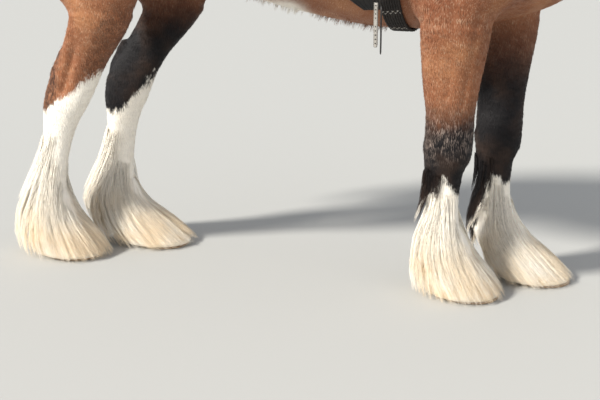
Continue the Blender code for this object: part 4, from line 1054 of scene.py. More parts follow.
class Graph:
    """Short way to add and link the nodes of one tree."""

    def __init__(self, tree: bpy.types.NodeTree) -> None:
        """Takes the tree to build in."""
        self.tree = tree

    @classmethod
    def group(
        cls,
        name: str,
        kind: str,
        inputs: Sequence[tuple[str, str]],
        outputs: Sequence[tuple[str, str]],
    ) -> tuple["Graph", bpy.types.Node, bpy.types.Node]:
        """Starts a node group with named sockets.

        Args:
            name: Name of the group.
            kind: GeometryNodeTree or ShaderNodeTree.
            inputs: Name and kind of each input.
            outputs: Name and kind of each output.

        Returns:
            The graph, its input node and its output node.
        """
        tree = bpy.data.node_groups.new(name, kind)
        for direction, sockets in (("INPUT", inputs), ("OUTPUT", outputs)):
            for label, socket_kind in sockets:
                tree.interface.new_socket(label, in_out=direction, socket_type=f"NodeSocket{socket_kind}")
        graph = cls(tree)
        return graph, tree.nodes.new("NodeGroupInput"), tree.nodes.new("NodeGroupOutput")

    @staticmethod
    def pick(sockets: bpy.types.bpy_prop_collection, key: int | str) -> bpy.types.NodeSocket:
        """Finds a socket by its place or by its name among those in use."""
        if isinstance(key, int):
            return [socket for socket in sockets if socket.enabled][key]
        return next(socket for socket in sockets if socket.name == key and socket.enabled)

    def feed(self, socket: bpy.types.NodeSocket, value: object) -> None:
        """Links a node or socket into a socket, or sets its number."""
        if isinstance(value, bpy.types.Node):
            value = self.pick(value.outputs, 0)
        if isinstance(value, bpy.types.NodeSocket):
            self.tree.links.new(value, socket)
        else:
            socket.default_value = value

    def add(self, kind: str, into: Optional[dict] = None, **settings: object) -> bpy.types.Node:
        """Adds a node.

        Args:
            kind: Blender's name of the node.
            into: Value, node or socket for each input, by name or place.
            **settings: The node's own options.

        Returns:
            The node.
        """
        node = self.tree.nodes.new(kind)
        for name, value in settings.items():
            setattr(node, name, value)
        for key, value in (into or {}).items():
            self.feed(self.pick(node.inputs, key), value)
        return node

    def math(
        self, operation: str, first: object, second: object = 0.0, clamp: bool = False
    ) -> bpy.types.Node:
        """Adds a sum on one or two numbers."""
        node = self.tree.nodes.new("ShaderNodeMath")
        node.operation = operation
        node.use_clamp = clamp
        self.feed(node.inputs[0], first)
        self.feed(node.inputs[1], second)
        return node

    def plus(self, first: object, second: object) -> bpy.types.Node:
        """Adds one number to another."""
        return self.math("ADD", first, second)

    def minus(self, first: object, second: object) -> bpy.types.Node:
        """Takes one number from another."""
        return self.math("SUBTRACT", first, second)

    def times(self, first: object, second: object) -> bpy.types.Node:
        """Multiplies two numbers."""
        return self.math("MULTIPLY", first, second)

    def most(self, first: object, second: object) -> bpy.types.Node:
        """Keeps the larger of two numbers."""
        return self.math("MAXIMUM", first, second)

    def vector(self, operation: str, first: object, second: object = (0, 0, 0)) -> bpy.types.Node:
        """Adds a sum on one or two vectors."""
        node = self.tree.nodes.new("ShaderNodeVectorMath")
        node.operation = operation
        self.feed(node.inputs[0], first)
        self.feed(node.inputs[3 if operation == "SCALE" else 1], second)
        return node

    def ramp(self, value: object, low: float, high: float) -> bpy.types.Node:
        """Adds a smooth rise from 0 at low to 1 at high."""
        return self.add(
            "ShaderNodeMapRange",
            {"Value": value, "From Min": low, "From Max": high},
            interpolation_type="SMOOTHSTEP",
        )

    def blend(self, share: object, first: object, second: object) -> bpy.types.Node:
        """Adds a mix of two colours."""
        return self.add("ShaderNodeMix", {"Factor": share, "A": first, "B": second}, data_type="RGBA")

    def noise(
        self, place: object, scale: float, detail: float = 3.0, stretch: tuple = (1, 1, 1)
    ) -> bpy.types.Node:
        """Adds noise at a place, stretched along an axis where its scale is smaller."""
        if stretch != (1, 1, 1):
            place = self.vector("MULTIPLY", place, stretch)
        return self.add("ShaderNodeTexNoise", {"Vector": place, "Scale": scale, "Detail": detail})


# Coat


class LegMarking(NamedTuple):
    """White and black of one leg; the white's upper edge rises to a peak and falls to both sides."""

    leg: Leg
    peak: float
    peak_x: float
    behind: float
    ahead: float
    lowest: float
    black_from: float
    black_to: float


LEG_MARKINGS = (
    LegMarking(LEGS[0], 0.410, 0.615, 1.2, 1.3, 0.27, 0.54, 0.70),
    LegMarking(LEGS[1], 0.385, 0.720, 5.0, 0.65, 0.19, 0.66, 0.98),
    LegMarking(LEGS[2], 0.685, -0.640, 0.65, 0.0, 0.54, 0.50, 0.56),
    LegMarking(LEGS[3], 0.705, -0.505, 1.15, 0.5, 0.51, 0.80, 1.02),
)


class DarkBand(NamedTuple):
    """Dark hair along one edge of the near hind leg, ahead of its line where width is above 0."""

    x: float
    lean: float
    width: float
    low: float
    high: float
    share: float


DARK_BANDS = (
    DarkBand(-0.790, 0.14, -0.010, 0.50, 0.80, 0.80),
    DarkBand(-0.700, 0.60, 0.014, 0.60, 0.94, 0.48),
)


@dataclass(frozen=True)
class CoatColours:
    """Colours of the coat and where they lie."""

    bay: Colour = (0.285, 0.112, 0.052, 1.0)
    bay_red: Colour = (0.185, 0.064, 0.030, 1.0)
    bay_gold: Colour = (0.43, 0.20, 0.090, 1.0)
    fleck: Colour = (0.62, 0.43, 0.29, 1.0)
    brown: Colour = (0.032, 0.019, 0.014, 1.0)
    black: Colour = (0.008, 0.007, 0.008, 1.0)
    # Colour of the painted sheen flecks on the near fore leg's dark hair
    painted_sheen_flecks: Colour = (0.30, 0.235, 0.20, 1.0)
    white: Colour = (0.92, 0.87, 0.78, 1.0)
    cream: Colour = (0.92, 0.75, 0.52, 1.0)
    muzzle: Colour = (0.085, 0.048, 0.038, 1.0)
    pink: Colour = (0.62, 0.36, 0.30, 1.0)
    # Near-black of the bare lid skin, also used as painted shade inside the nostrils
    lids: Colour = (0.016, 0.009, 0.007, 1.0)
    middle_x: float = -0.05
    edge: float = 0.010
    ragged: float = 0.030

    @staticmethod
    def mane_roots_and_shade(g: Graph, place: object, axes: Sequence[object], waver: object) -> object:
        """Black along the crest on the side where the mane falls: the mane's roots, and painted shade on the neck
        under the mane.
        """
        x, y, z = axes
        withers, poll = neck_crest(0.04), neck_crest(1.0)
        up = Vector((withers.z - poll.z, 0.0, poll.x - withers.x)).normalized()
        across = g.plus(g.times(x, up.x), g.times(z, up.z))
        above = g.minus(across, withers.dot(up))
        near = g.ramp(g.plus(above, waver), -0.13, -0.08)
        side = g.ramp(y, 0.006, -0.006)
        along = g.times(g.ramp(x, withers.x, withers.x + 0.02), g.ramp(x, poll.x + 0.01, poll.x - 0.03))
        return g.times(near, g.times(side, along))

    def group(self) -> bpy.types.NodeTree:
        """Builds the group that gives the coat's colour at a place in the body's frame.

        Returns:
            The shader node group.
        """
        g, given, out = Graph.group(
            "coat_colours", "ShaderNodeTree", [("Place", "Vector")], [("Color", "Color"), ("White", "Float")]
        )
        place = given.outputs["Place"]
        axes = g.add("ShaderNodeSeparateXYZ", {0: place})
        x, y, z = axes.outputs
        streaks = g.noise(place, 1.0, 3.0, (120, 120, 16))
        patches = g.noise(place, 13.0, 3.0)
        waver = g.times(g.minus(streaks, 0.5), self.ragged * 2)
        waver = g.plus(waver, g.times(g.minus(patches, 0.5), 0.07))
        height = g.plus(z, waver)
        fore = g.ramp(x, self.middle_x - 0.01, self.middle_x + 0.01)
        left = g.ramp(y, -0.002, 0.002)
        white: object = 0.0
        black: object = 0.0
        for mark in LEG_MARKINGS:
            mine_x = fore if mark.leg.limb is Limb.FORE else g.minus(1.0, fore)
            mine_y = left if mark.leg.side is Side.LEFT else g.minus(1.0, left)
            mine = g.times(mine_x, mine_y)
            fall_back = g.times(g.most(g.minus(mark.peak_x, x), 0.0), mark.behind)
            fall_front = g.times(g.most(g.minus(x, mark.peak_x), 0.0), mark.ahead)
            line = g.minus(g.minus(mark.peak, fall_back), fall_front)
            line = g.most(line, mark.lowest)
            below = g.ramp(g.minus(line, height), -self.edge, self.edge)
            dark = g.ramp(height, mark.black_to, mark.black_from)
            white = g.plus(white, g.times(mine, below))
            black = g.plus(black, g.times(mine, dark))
        near_hind = g.times(g.minus(1.0, fore), g.minus(1.0, left))
        speckle = g.noise(place, 1.0, 3.0, (190, 190, 34))
        for band in DARK_BANDS:
            lean = g.times(g.minus(z, 0.68), band.lean)
            offset = g.minus(g.minus(x, band.x), g.plus(lean, waver))
            share = g.times(g.ramp(offset, -band.width, band.width), band.share)
            share = g.times(share, g.ramp(z, band.low - 0.02, band.low + 0.02))
            share = g.times(share, g.ramp(z, band.high + 0.05, band.high - 0.05))
            share = g.times(share, g.ramp(speckle, 0.36, 0.58))
            black = g.most(black, g.times(near_hind, share))
        dock = g.times(g.ramp(x, -0.915, -0.945), g.ramp(g.math("ABSOLUTE", y), 0.075, 0.050))
        black = g.most(black, g.times(dock, g.ramp(z, 1.62, 1.53)))
        # Black mane roots, and painted shade on the neck under the mane
        black = g.most(black, self.mane_roots_and_shade(g, place, (x, y, z), waver))
        white = self.pale_body(g, place, (x, y, z), patches, white)
        colour = self.bay_colour(g, place, z)
        dark_colour = g.blend(g.ramp(g.noise(place, 9.0), 0.40, 0.70), self.black, self.brown)
        near_fore = g.times(fore, g.minus(1.0, left))
        # Pale flecks of painted sheen on the near fore leg's dark hair, round its knee
        painted_sheen_flecks = g.times(near_fore, g.ramp(g.noise(place, 1.0, 3.0, (230, 230, 42)), 0.50, 0.64))
        painted_sheen_flecks = g.times(painted_sheen_flecks, g.times(g.ramp(z, 0.43, 0.53), g.ramp(z, 0.74, 0.62)))
        dark_colour = g.blend(g.times(painted_sheen_flecks, 0.62), dark_colour, self.painted_sheen_flecks)
        colour = g.blend(black, colour, dark_colour)
        on_head_only = g.ramp(x, 1.20, 1.30)
        down = self.down_face(g, place)
        muzzle = g.times(g.times(g.ramp(down, 0.50, 0.66), on_head_only), 0.85)
        colour = g.blend(muzzle, colour, self.muzzle)
        warm = g.times(g.ramp(z, 0.26, 0.02), g.ramp(g.noise(place, 9.0), 0.35, 0.65))
        pale = g.blend(warm, self.white, self.cream)
        nose = g.times(g.ramp(down, 0.585, 0.66), on_head_only)
        pale = g.blend(g.times(nose, 0.8), pale, self.pink)
        colour = g.blend(white, colour, pale)
        # Dark lid skin round the eyes, and near-black painted shade inside the nostrils
        colour = g.blend(self.dark_skin_and_nostril_shade(g, x, y, z), colour, self.lids)
        g.feed(out.inputs["Color"], g.pick(colour.outputs, "Result"))
        g.feed(out.inputs["White"], white)
        return g.tree

    def dark_skin_and_nostril_shade(self, g: Graph, x: object, y: object, z: object) -> bpy.types.Node:
        """Bare dark skin round the eyes, and near-black painted shade inside the nostrils."""
        mirrored = g.add("ShaderNodeCombineXYZ", {"X": x, "Y": g.math("ABSOLUTE", y), "Z": z})
        share: object = 0.0
        for centre, near, far in (
            (on_head(EYE_ALONG, EYE_SIDE, EYE_OUT), 0.0300, 0.0355),
            # Inside the nostril: painted shade
            (on_head(0.634, 0.060, -0.068), 0.019, 0.030),
        ):
            distance = g.vector("DISTANCE", mirrored, tuple(centre)).outputs["Value"]
            share = g.most(share, g.ramp(distance, far, near))
        return share

    def down_face(self, g: Graph, place: object) -> bpy.types.Node:
        """Distance down the face from the poll."""
        from_poll = g.vector("SUBTRACT", place, tuple(POLL))
        along = g.vector("DOT_PRODUCT", from_poll, tuple(FACE_DOWN))
        return along.outputs["Value"]

    def pale_body(
        self,
        g: Graph,
        place: object,
        axes: tuple,
        patches: bpy.types.Node,
        white: object,
    ) -> bpy.types.Node:
        """Adds the blaze, the pale lip and the pale patch under the belly to the white.

        Args:
            g: The graph.
            place: Place in the body's frame.
            axes: Its three numbers.
            patches: Soft noise that wanders the edges.
            white: White so far.

        Returns:
            All that is white, from 0 to 1.
        """
        x, y, z = axes
        from_poll = g.vector("SUBTRACT", place, tuple(POLL))
        out = g.vector("DOT_PRODUCT", from_poll, tuple(FACE_OUT)).outputs["Value"]
        down = self.down_face(g, place)
        wander = g.times(g.minus(patches, 0.5), 0.035)
        wider = g.times(g.ramp(down, 0.46, 0.62), 0.022)
        width = g.minus(g.plus(g.math("ABSOLUTE", y), wander), wider)
        blaze = g.times(g.ramp(width, 0.046, 0.038), g.ramp(out, -0.135, -0.115))
        blaze = g.times(blaze, g.ramp(down, 0.07, 0.10))
        belly = g.times(g.ramp(g.plus(z, wander), 0.990, 0.935), g.ramp(x, -0.32, -0.24))
        belly = g.times(belly, g.ramp(g.plus(x, wander), 0.17, 0.08))
        belly = g.times(belly, g.ramp(z, 0.86, 0.90))
        return g.math("ADD", g.plus(white, blaze), belly, clamp=True)

    def bay_colour(self, g: Graph, place: object, z: object) -> bpy.types.Node:
        """Bay of the body: redder above, golden in patches, with light flecks."""
        tone = g.ramp(g.noise(place, 2.6, 3.0), 0.32, 0.66)
        colour = g.blend(tone, self.bay_red, self.bay)
        gold = g.times(g.ramp(g.noise(place, 6.5, 3.0), 0.48, 0.76), 0.55)
        colour = g.blend(gold, colour, self.bay_gold)
        top = g.times(g.ramp(z, 1.35, 1.85), 0.55)
        colour = g.blend(top, colour, self.bay_red)
        flecks = g.times(g.ramp(g.noise(place, 1.0, 2.0, (380, 380, 60)), 0.50, 0.72), 0.42)
        return g.blend(flecks, colour, self.fleck)


@dataclass(frozen=True)
class HairShine:
    """How hair takes the light."""

    roughness: float = 0.55
    specular: float = 0.17
    sheen: float = 0.04


class CoatMaterials:
    """Materials of skin and hair, which share the same markings."""

    def __init__(self, colours: CoatColours, shine: HairShine) -> None:
        """Builds the shared groups."""
        self.colours = colours.group()
        self.relief = self.relief_group()
        self.shine = shine

    @staticmethod
    def relief_group() -> bpy.types.NodeTree:
        """Fine relief of short hair that lies down the legs and back along the body."""
        g, given, out = Graph.group(
            "hair_relief", "ShaderNodeTree", [("Place", "Vector")], [("Height", "Float")]
        )
        place = given.outputs["Place"]
        z = g.add("ShaderNodeSeparateXYZ", {0: place}).outputs[2]
        leg_hair = g.noise(place, 1.0, 3.0, (420, 420, 60))
        body_hair = g.noise(place, 1.0, 3.0, (70, 360, 240))
        on_leg = g.ramp(z, 1.06, 0.92)
        hair = g.add("ShaderNodeMix", {"Factor": on_leg, "A": body_hair.outputs[0], "B": leg_hair.outputs[0]})
        flow = g.noise(place, 24.0, 3.0)
        g.feed(out.inputs["Height"], g.plus(hair, g.times(flow, 0.25)))
        return g.tree

    @staticmethod
    def start(name: str) -> tuple[bpy.types.Material, Graph, bpy.types.Node]:
        """Starts a material and returns it with its graph and its shader."""
        material = bpy.data.materials.new(name)
        material.use_nodes = True
        graph = Graph(material.node_tree)
        return material, graph, material.node_tree.nodes["Principled BSDF"]

    def skin(self) -> bpy.types.Material:
        """Short coat that lies flat on the skin."""
        material, g, shader = self.start("coat_on_skin")
        shifted = g.add("ShaderNodeTexCoord").outputs["Object"]
        place = g.vector("SUBTRACT", shifted, (SHIFT, 0, 0))
        colour = g.add("ShaderNodeGroup", node_tree=self.colours)
        g.feed(colour.inputs["Place"], place)
        relief = g.add("ShaderNodeGroup", node_tree=self.relief)
        g.feed(relief.inputs["Place"], place)
        bump = g.add("ShaderNodeBump", {"Height": relief, "Strength": 0.55, "Distance": 0.004})
        g.feed(shader.inputs["Base Color"], colour.outputs["Color"])
        g.feed(shader.inputs["Normal"], bump)
        shader.inputs["Roughness"].default_value = self.shine.roughness
        shader.inputs["Specular IOR Level"].default_value = self.shine.specular
        shader.inputs["Sheen Weight"].default_value = self.shine.sheen
        return material

    def hair(
        self, name: str, tone: Optional[Colour] = None, lighten: float = 1.0, variation: float = 0.34
    ) -> bpy.types.Material:
        """Standing hair, coloured at its root by the markings or by one tone.

        Args:
            name: Name of the material.
            tone: Colour of its own, where the markings don't say it.
            lighten: Brightness of the colour.
            variation: How far single hairs differ in brightness.

        Returns:
            The material.
        """
        material, g, shader = self.start(name)
        tint = g.add("ShaderNodeAttribute", attribute_name="tint").outputs["Fac"]
        root = g.add("ShaderNodeAttribute", attribute_name="root").outputs["Vector"]
        if tone is None:
            colour = g.add("ShaderNodeGroup", node_tree=self.colours)
            g.feed(colour.inputs["Place"], root)
            base = colour.outputs["Color"]
        else:
            fleck = g.ramp(g.noise(root, 8.0), 0.45, 0.7)
            warmer = tuple(min(1.0, c * f) for c, f in zip(tone, (2.6, 2.0, 1.6))) + (1.0,)
            base = g.blend(fleck, tone, warmer[:4])
        if tone is None:
            own = g.vector("SUBTRACT", g.add("ShaderNodeTexCoord").outputs["Object"], (SHIFT, 0, 0))
            height = g.add("ShaderNodeSeparateXYZ", {0: own}).outputs[2]
            tips = g.times(g.ramp(height, 0.27, 0.02), g.ramp(g.noise(own, 7.0), 0.30, 0.62))
            warm = g.times(g.times(tips, colour.outputs["White"]), 0.75)
            base = g.blend(warm, base, CoatColours.cream)
        low = lighten * (1 - variation)
        high = lighten * (1 + variation * 0.5)
        value = g.add("ShaderNodeMapRange", {"Value": tint, "To Min": low, "To Max": high})
        varied = g.add("ShaderNodeHueSaturation", {"Value": value, "Color": base})
        g.feed(shader.inputs["Base Color"], varied)
        shader.inputs["Roughness"].default_value = self.shine.roughness
        shader.inputs["Specular IOR Level"].default_value = self.shine.specular
        shader.inputs["Sheen Weight"].default_value = self.shine.sheen
        return material


# Hair


class Lock(NamedTuple):
    """A lock of hair: its middle line, the way it faces, and its spread."""

    path: Array
    facings: Array
    width: float
    depth: float


class BakeMap:
    """Unwrap of the skin's own shape: one chart for the trunk, the neck and head, and each leg."""

    @staticmethod
    def places(points: Array) -> Array:
        """Where roots lie on the unwrap.

        Args:
            points: Roots, in the body's frame.

        Returns:
            A row of two numbers from 0 to 1 for each.
        """
        x, y, z = points.T
        angle = np.arctan2(y, z - 1.30) / TAU + 0.5
        u = 0.01 + 0.47 * angle
        v = 0.01 + 0.47 * np.clip((x + 1.05) / 2.15, 0, 1)
        ahead = (x - 1.0) * 0.55 + (z - 1.5) * 0.83
        head = ahead > 0.05
        side = np.where(y < 0, 0.25, 0.75)
        u = np.where(head, 0.51 + 0.23 * (side * 2 - 0.5) + 0.2 * np.clip((x - 0.5) / 1.5, 0, 1), u)
        v = np.where(head, 0.01 + 0.47 * np.clip((z - 1.4) / 0.9, 0, 1), v)
        for index, leg in enumerate(LEGS):
            is_mine = (z < 0.9) & ((x > 0.2) == (leg.limb is Limb.FORE)) & ((y > 0) == (leg.side is Side.LEFT))
            middle = np.array([leg.axis(h) for h in np.linspace(0, 0.9, 10)])
            mx = np.interp(z, middle[:, 2], middle[:, 0])
            my = np.interp(z, middle[:, 2], middle[:, 1])
            turn = np.arctan2(y - my, x - mx) / TAU + 0.5
            u = np.where(is_mine, 0.01 + 0.25 * index + 0.22 * turn, u)
            v = np.where(is_mine, 0.51 + 0.47 * np.clip(z / 0.9, 0, 1), v)
        return np.stack([np.clip(u, 0.003, 0.997), np.clip(v, 0.003, 0.997)], axis=1)


@dataclass
class StrandTree:
    """Geometry Nodes that turn lines with a radius into tapering hairs."""

    sides: int = 3
    patch: float = 0.003

    def build(self) -> bpy.types.NodeTree:
        """Builds the tree, whose inputs are the lines, a thickness and a material."""
        g, given, out = Graph.group(
            "hair_strands",
            "GeometryNodeTree",
            [("Geometry", "Geometry"), ("Thickness", "Float"), ("Material", "Material")],
            [("Geometry", "Geometry")],
        )
        curve = g.add("GeometryNodeMeshToCurve", {"Mesh": given.outputs["Geometry"]})
        taper = g.add("GeometryNodeInputNamedAttribute", {"Name": "taper"}, data_type="FLOAT")
        ring = g.add("GeometryNodeCurvePrimitiveCircle", {"Resolution": self.sides, "Radius": 1.0})
        mesh = g.add(
            "GeometryNodeCurveToMesh",
            {
                "Curve": curve,
                "Profile Curve": ring,
                "Scale": g.times(taper, given.outputs["Thickness"]),
                "Fill Caps": True,
            },
        )
        bake = g.add("GeometryNodeInputNamedAttribute", {"Name": "bake"}, data_type="FLOAT_VECTOR")
        down = g.add("GeometryNodeInputNamedAttribute", {"Name": "down"}, data_type="FLOAT")
        spread = g.add("ShaderNodeCombineXYZ", {"X": down, "Y": down})
        across = g.vector("SCALE", spread, self.patch)
        place = g.vector("ADD", bake, across)
        stored = g.add(
            "GeometryNodeStoreNamedAttribute",
            {"Geometry": mesh, "Name": "OFBake", "Value": place},
            data_type="FLOAT2",
            domain="CORNER",
        )
        realized = g.add("GeometryNodeRealizeInstances", {"Geometry": stored})
        dressed = g.add("GeometryNodeSetMaterial", {"Geometry": realized, "Material": given.outputs["Material"]})
        g.feed(out.inputs["Geometry"], dressed)
        return g.tree


def run_tree(obj: bpy.types.Object, tree: bpy.types.NodeTree, values: dict) -> None:
    """Runs a Geometry Nodes tree on an object and keeps the result as its mesh.

    Args:
        obj: Object to change.
        tree: The tree.
        values: Value of each named input.
    """
    modifier = obj.modifiers.new(tree.name, "NODES")
    modifier.node_group = tree
    for item in tree.interface.items_tree:
        if item.item_type == "SOCKET" and item.in_out == "INPUT" and item.name in values:
            modifier[item.identifier] = values[item.name]
    apply_modifiers(obj)


@dataclass
class HairDresser:
    """Fills locks with fine hairs and makes each lot of them one mesh."""

    rng: np.random.Generator
    tree: bpy.types.NodeTree
    steps: int = 5
    samples: int = 17

    def path_at(self, path: Array, where: Array) -> Array:
        """Reads a smooth line through the points of a path."""
        at = np.linspace(0, 1, len(path))
        slopes = np.gradient(path, at, axis=0)
        i = np.clip(np.searchsorted(at, where) - 1, 0, len(at) - 2)
        step = at[i + 1] - at[i]
        t = ((where - at[i]) / step)[:, None]
        step = step[:, None]
        return (
            path[i] * (2 * t**3 - 3 * t**2 + 1)
            + path[i + 1] * (3 * t**2 - 2 * t**3)
            + slopes[i] * step * (t**3 - 2 * t**2 + t)
            + slopes[i + 1] * step * (t**3 - t**2)
        )

    def fill(
        self, lock: Lock, count: int, gather: float, wave: float, short: float, stagger: float = 0.0
    ) -> Array:
        """Hairs of one lock.

        Args:
            lock: The lock.
            count: How many hairs.
            gather: Share of its spread that is left at the tips.
            wave: How far a hair wanders from its line.
            short: Length of the shortest hair, as a share of the lock.
            stagger: How far down the lock a hair may start, as a share of it.

        Returns:
            Points of each hair, as an array of count, steps and 3.
        """
        fine = np.linspace(0, 1, self.samples)
        line = self.path_at(lock.path, fine)
        facing = unit(self.path_at(lock.facings, fine))
        run = unit(np.gradient(line, axis=0))
        across = unit(np.cross(run, facing))
        facing = np.cross(across, run)
        angle = self.rng.uniform(0, TAU, count)
        reach = np.sqrt(self.rng.uniform(0, 1, count))
        u = np.cos(angle) * reach * lock.width / 2
        v = np.sin(angle) * reach * lock.depth / 2
        length = 1 - (1 - short) * self.rng.uniform(0, 1, count) ** 1.5
        start = self.rng.uniform(0, stagger, count)[:, None]
        along = start + np.linspace(0, 1, self.steps)[None, :] * (length[:, None] - start)
        spread = 1 - (1 - gather) * along**1.3
        phase = self.rng.uniform(0, TAU, (count, 1))
        wander = wave * along * np.sin(phase + 5.0 * along)
        rise = wave * 0.6 * along * np.sin(phase * 1.7 + 6.0 * along)
        grow = np.clip(along * 5.0, 0.0, 1.0)
        base = np.stack([np.interp(along, fine, line[:, k]) for k in range(3)], axis=-1)
        side = np.stack([np.interp(along, fine, across[:, k]) for k in range(3)], axis=-1)
        front = np.stack([np.interp(along, fine, facing[:, k]) for k in range(3)], axis=-1)
        return (
            base
            + side * (u[:, None] * spread + wander)[..., None]
            + front * (v[:, None] * spread * grow + rise)[..., None]
        )

    def mesh(
        self,
        name: str,
        strands: Array,
        thickness: float,
        material: bpy.types.Material,
        floor: Optional[float] = None,
    ) -> bpy.types.Object:
        """Makes hairs into one mesh, with the attributes that its material reads.

        Args:
            name: Name of the piece.
            strands: Points of all hairs, as an array of hairs, steps and 3.
            thickness: Radius of a hair near its root.
            material: Its finish.
            floor: Lowest height that a hair may reach.

        Returns:
            The piece, in the body's frame.
        """
        count, steps, _ = strands.shape
        if floor is not None:
            strands[..., 2] = np.maximum(strands[..., 2], floor)
        total = count * steps
        mesh = bpy.data.meshes.new(name)
        mesh.vertices.add(total)
        mesh.vertices.foreach_set("co", strands.astype(np.float32).ravel())
        first = (np.arange(count)[:, None] * steps + np.arange(steps - 1)[None, :]).ravel()
        mesh.edges.add(len(first))
        mesh.edges.foreach_set("vertices", np.stack([first, first + 1], axis=1).ravel().astype(np.int32))
        roots = np.repeat(strands[:, :1], steps, axis=1).reshape(-1, 3)
        bake = np.concatenate([BakeMap.places(roots), np.zeros((total, 1))], axis=1)
        down = np.tile(np.linspace(0, 1, steps), count)
        taper = (1.0 - 0.82 * down**1.4) * np.repeat(self.rng.uniform(0.75, 1.2, count), steps)
        tint = np.repeat(self.rng.uniform(0, 1, count), steps)
        rows = {"root": roots, "bake": bake, "down": down, "taper": taper, "tint": tint}
        for label, values in rows.items():
            store(mesh, label, values)
        obj = link_object(name, mesh)
        run_tree(obj, self.tree, {"Thickness": thickness, "Material": material})
        forget(obj.data, ("bake", "down", "taper"))
        return obj


class FeatherTier(NamedTuple):
    """A ring of locks round one foot: angles in degrees from straight ahead, heights in metres."""

    count: int
    from_angle: float
    to_angle: float
    top: float
    bottom: float
    width: float
    outer: float


FEATHER_TIERS = {
    Limb.FORE: (
        FeatherTier(34, 0, 350, 0.130, 0.001, 0.050, 0.66),
        FeatherTier(32, 6, 354, 0.200, 0.002, 0.052, 0.88),
        FeatherTier(32, 14, 346, 0.270, 0.006, 0.050, 1.00),
        FeatherTier(24, 50, 310, 0.335, 0.075, 0.044, 0.96),
        FeatherTier(14, 100, 260, 0.410, 0.190, 0.036, 0.95),
    ),
    Limb.HIND: (
        FeatherTier(34, 0, 350, 0.135, 0.001, 0.052, 0.66),
        FeatherTier(32, 6, 354, 0.205, 0.002, 0.054, 0.88),
        FeatherTier(32, 14, 346, 0.285, 0.006, 0.052, 1.00),
        FeatherTier(22, 58, 302, 0.360, 0.080, 0.046, 0.96),
        FeatherTier(14, 100, 260, 0.450, 0.190, 0.038, 0.95),
    ),
}


@dataclass
class Feather:
    """Long silky hair round one foot."""

    leg: Leg
    hairs_per_lock: int = 35
    thickness: float = 0.00060
    far_toe_lift: float = 0.007
    dark_lock: float = 0.085
    core_share: float = 0.54

    def locks(self, rng: np.random.Generator) -> list[Lock]:
        """Locks of the feather, which flare over the hoof."""
        found = []
        for tier in FEATHER_TIERS[self.leg.limb]:
            for i in range(tier.count):
                turn = tier.from_angle + (tier.to_angle - tier.from_angle) * i / (tier.count - 1)
                angle = math.radians(turn + rng.uniform(-3, 3))
                bend = math.radians(rng.uniform(-4, 4))
                front = max(0.0, math.cos(angle)) ** 5
                lift = self.far_toe_lift if self.leg.side is Side.LEFT else 0.0
                bottom = tier.bottom + rng.uniform(0.0, 0.010) + lift * front
                top = tier.top + rng.uniform(-0.05, 0.03) - 0.03 * front
                if self.is_dark(angle, top):
                    bottom = max(bottom, top - self.dark_lock - rng.uniform(0.0, 0.04))
                outer = tier.outer * rng.uniform(0.90, 1.0)
                path = []
                facings = []
                for down, share in ((0.0, -0.12), (0.25, 0.40), (0.5, 0.78), (0.75, 0.96), (1.0, 1.0)):
                    place, facing = self.leg.hair_place(
                        angle + bend * down, top + (bottom - top) * down, share * outer
                    )
                    path.append(place)
                    facings.append(facing)
                found.append(Lock(np.array(path), np.array(facings), tier.width, 0.016))
        return found

    def is_dark(self, angle: float, height: float) -> bool:
        """True where the leg's marking leaves the root of a lock dark."""
        mark = next(m for m in LEG_MARKINGS if m.leg == self.leg)
        x = self.leg.hair_place(angle, height, 0.0)[0].x
        line = mark.peak - mark.behind * max(0.0, mark.peak_x - x) - mark.ahead * max(0.0, x - mark.peak_x)
        return height > max(line, mark.lowest) - 0.01

    def core(self) -> bpy.types.Object:
        """Dense inner hair, less than half way out to the tips."""
        rings = []
        for height in np.linspace(0.25, 0.012, 16):
            down = (0.25 - height) / 0.24
            share = min(self.core_share, 2.0 * down - 0.1)
            rings.append([self.leg.hair_place(a, height, share)[0] for a in np.arange(40) * TAU / 40])
        return loft("feather_core", rings)

    def build(self, dresser: HairDresser, material: bpy.types.Material) -> bpy.types.Object:
        """Builds the feather of one foot."""
        strands = [
            dresser.fill(lock, self.hairs_per_lock, 0.32, 0.004, 0.72, 0.09)
            for lock in self.locks(dresser.rng)
        ]
        name = f"{self.leg.name}_feather"
        hair = dresser.mesh(name, np.concatenate(strands), self.thickness, material, GROUND_CLEAR)
        return finish_piece(hair, material)


class Hide:
    """The skin's surface, for laying hair and tack on it."""

    def __init__(self, skin: bpy.types.Object) -> None:
        """Reads the surface."""
        mesh = skin.data
        mesh.calc_loop_triangles()
        self.points, self.normals = vertex_arrays(mesh)
        corners = np.empty(len(mesh.loop_triangles) * 3, np.int32)
        mesh.loop_triangles.foreach_get("vertices", corners)
        self.triangles = corners.reshape(-1, 3)
        self.tree = BVHTree.FromPolygons(self.points.tolist(), self.triangles.tolist())

    def on_side(self, x: float, z: float, side: float, off: float) -> Optional[Vector]:
        """Point off one side of the body."""
        hit, normal = self.tree.ray_cast(Vector((x, side * 0.9, z)), Vector((0, -side, 0)))[:2]
        return None if hit is None else hit + normal * off

    def on_face(self, along: float, across: float, off: float) -> Vector:
        """Point off the front of the face."""
        hit, normal = self.tree.ray_cast(on_head(along, across, 0.3), -FACE_OUT)[:2]
        return hit + normal * off

    def on_top(self, x: float, y: float) -> Vector:
        """Point of the skin straight below a place above the back."""
        return self.tree.ray_cast(Vector((x, y, 2.8)), Vector((0, 0, -1)))[0]

    def from_below(self, x: float, y: float) -> Vector:
        """Point of the skin straight above a place on the floor."""
        return self.tree.ray_cast(Vector((x, y, 0.3)), Vector((0, 0, 1)))[0]

    def round_barrel(self, x: float, angle: float, off: float) -> Vector:
        """Point off the barrel at x, turned by an angle about its middle from straight up."""
        middle = Vector((x, 0, 1.30))
        outward = Vector((0, math.sin(angle), math.cos(angle)))
        hit, normal = self.tree.ray_cast(middle + outward * 0.9, -outward)[:2]
        return hit + normal * off


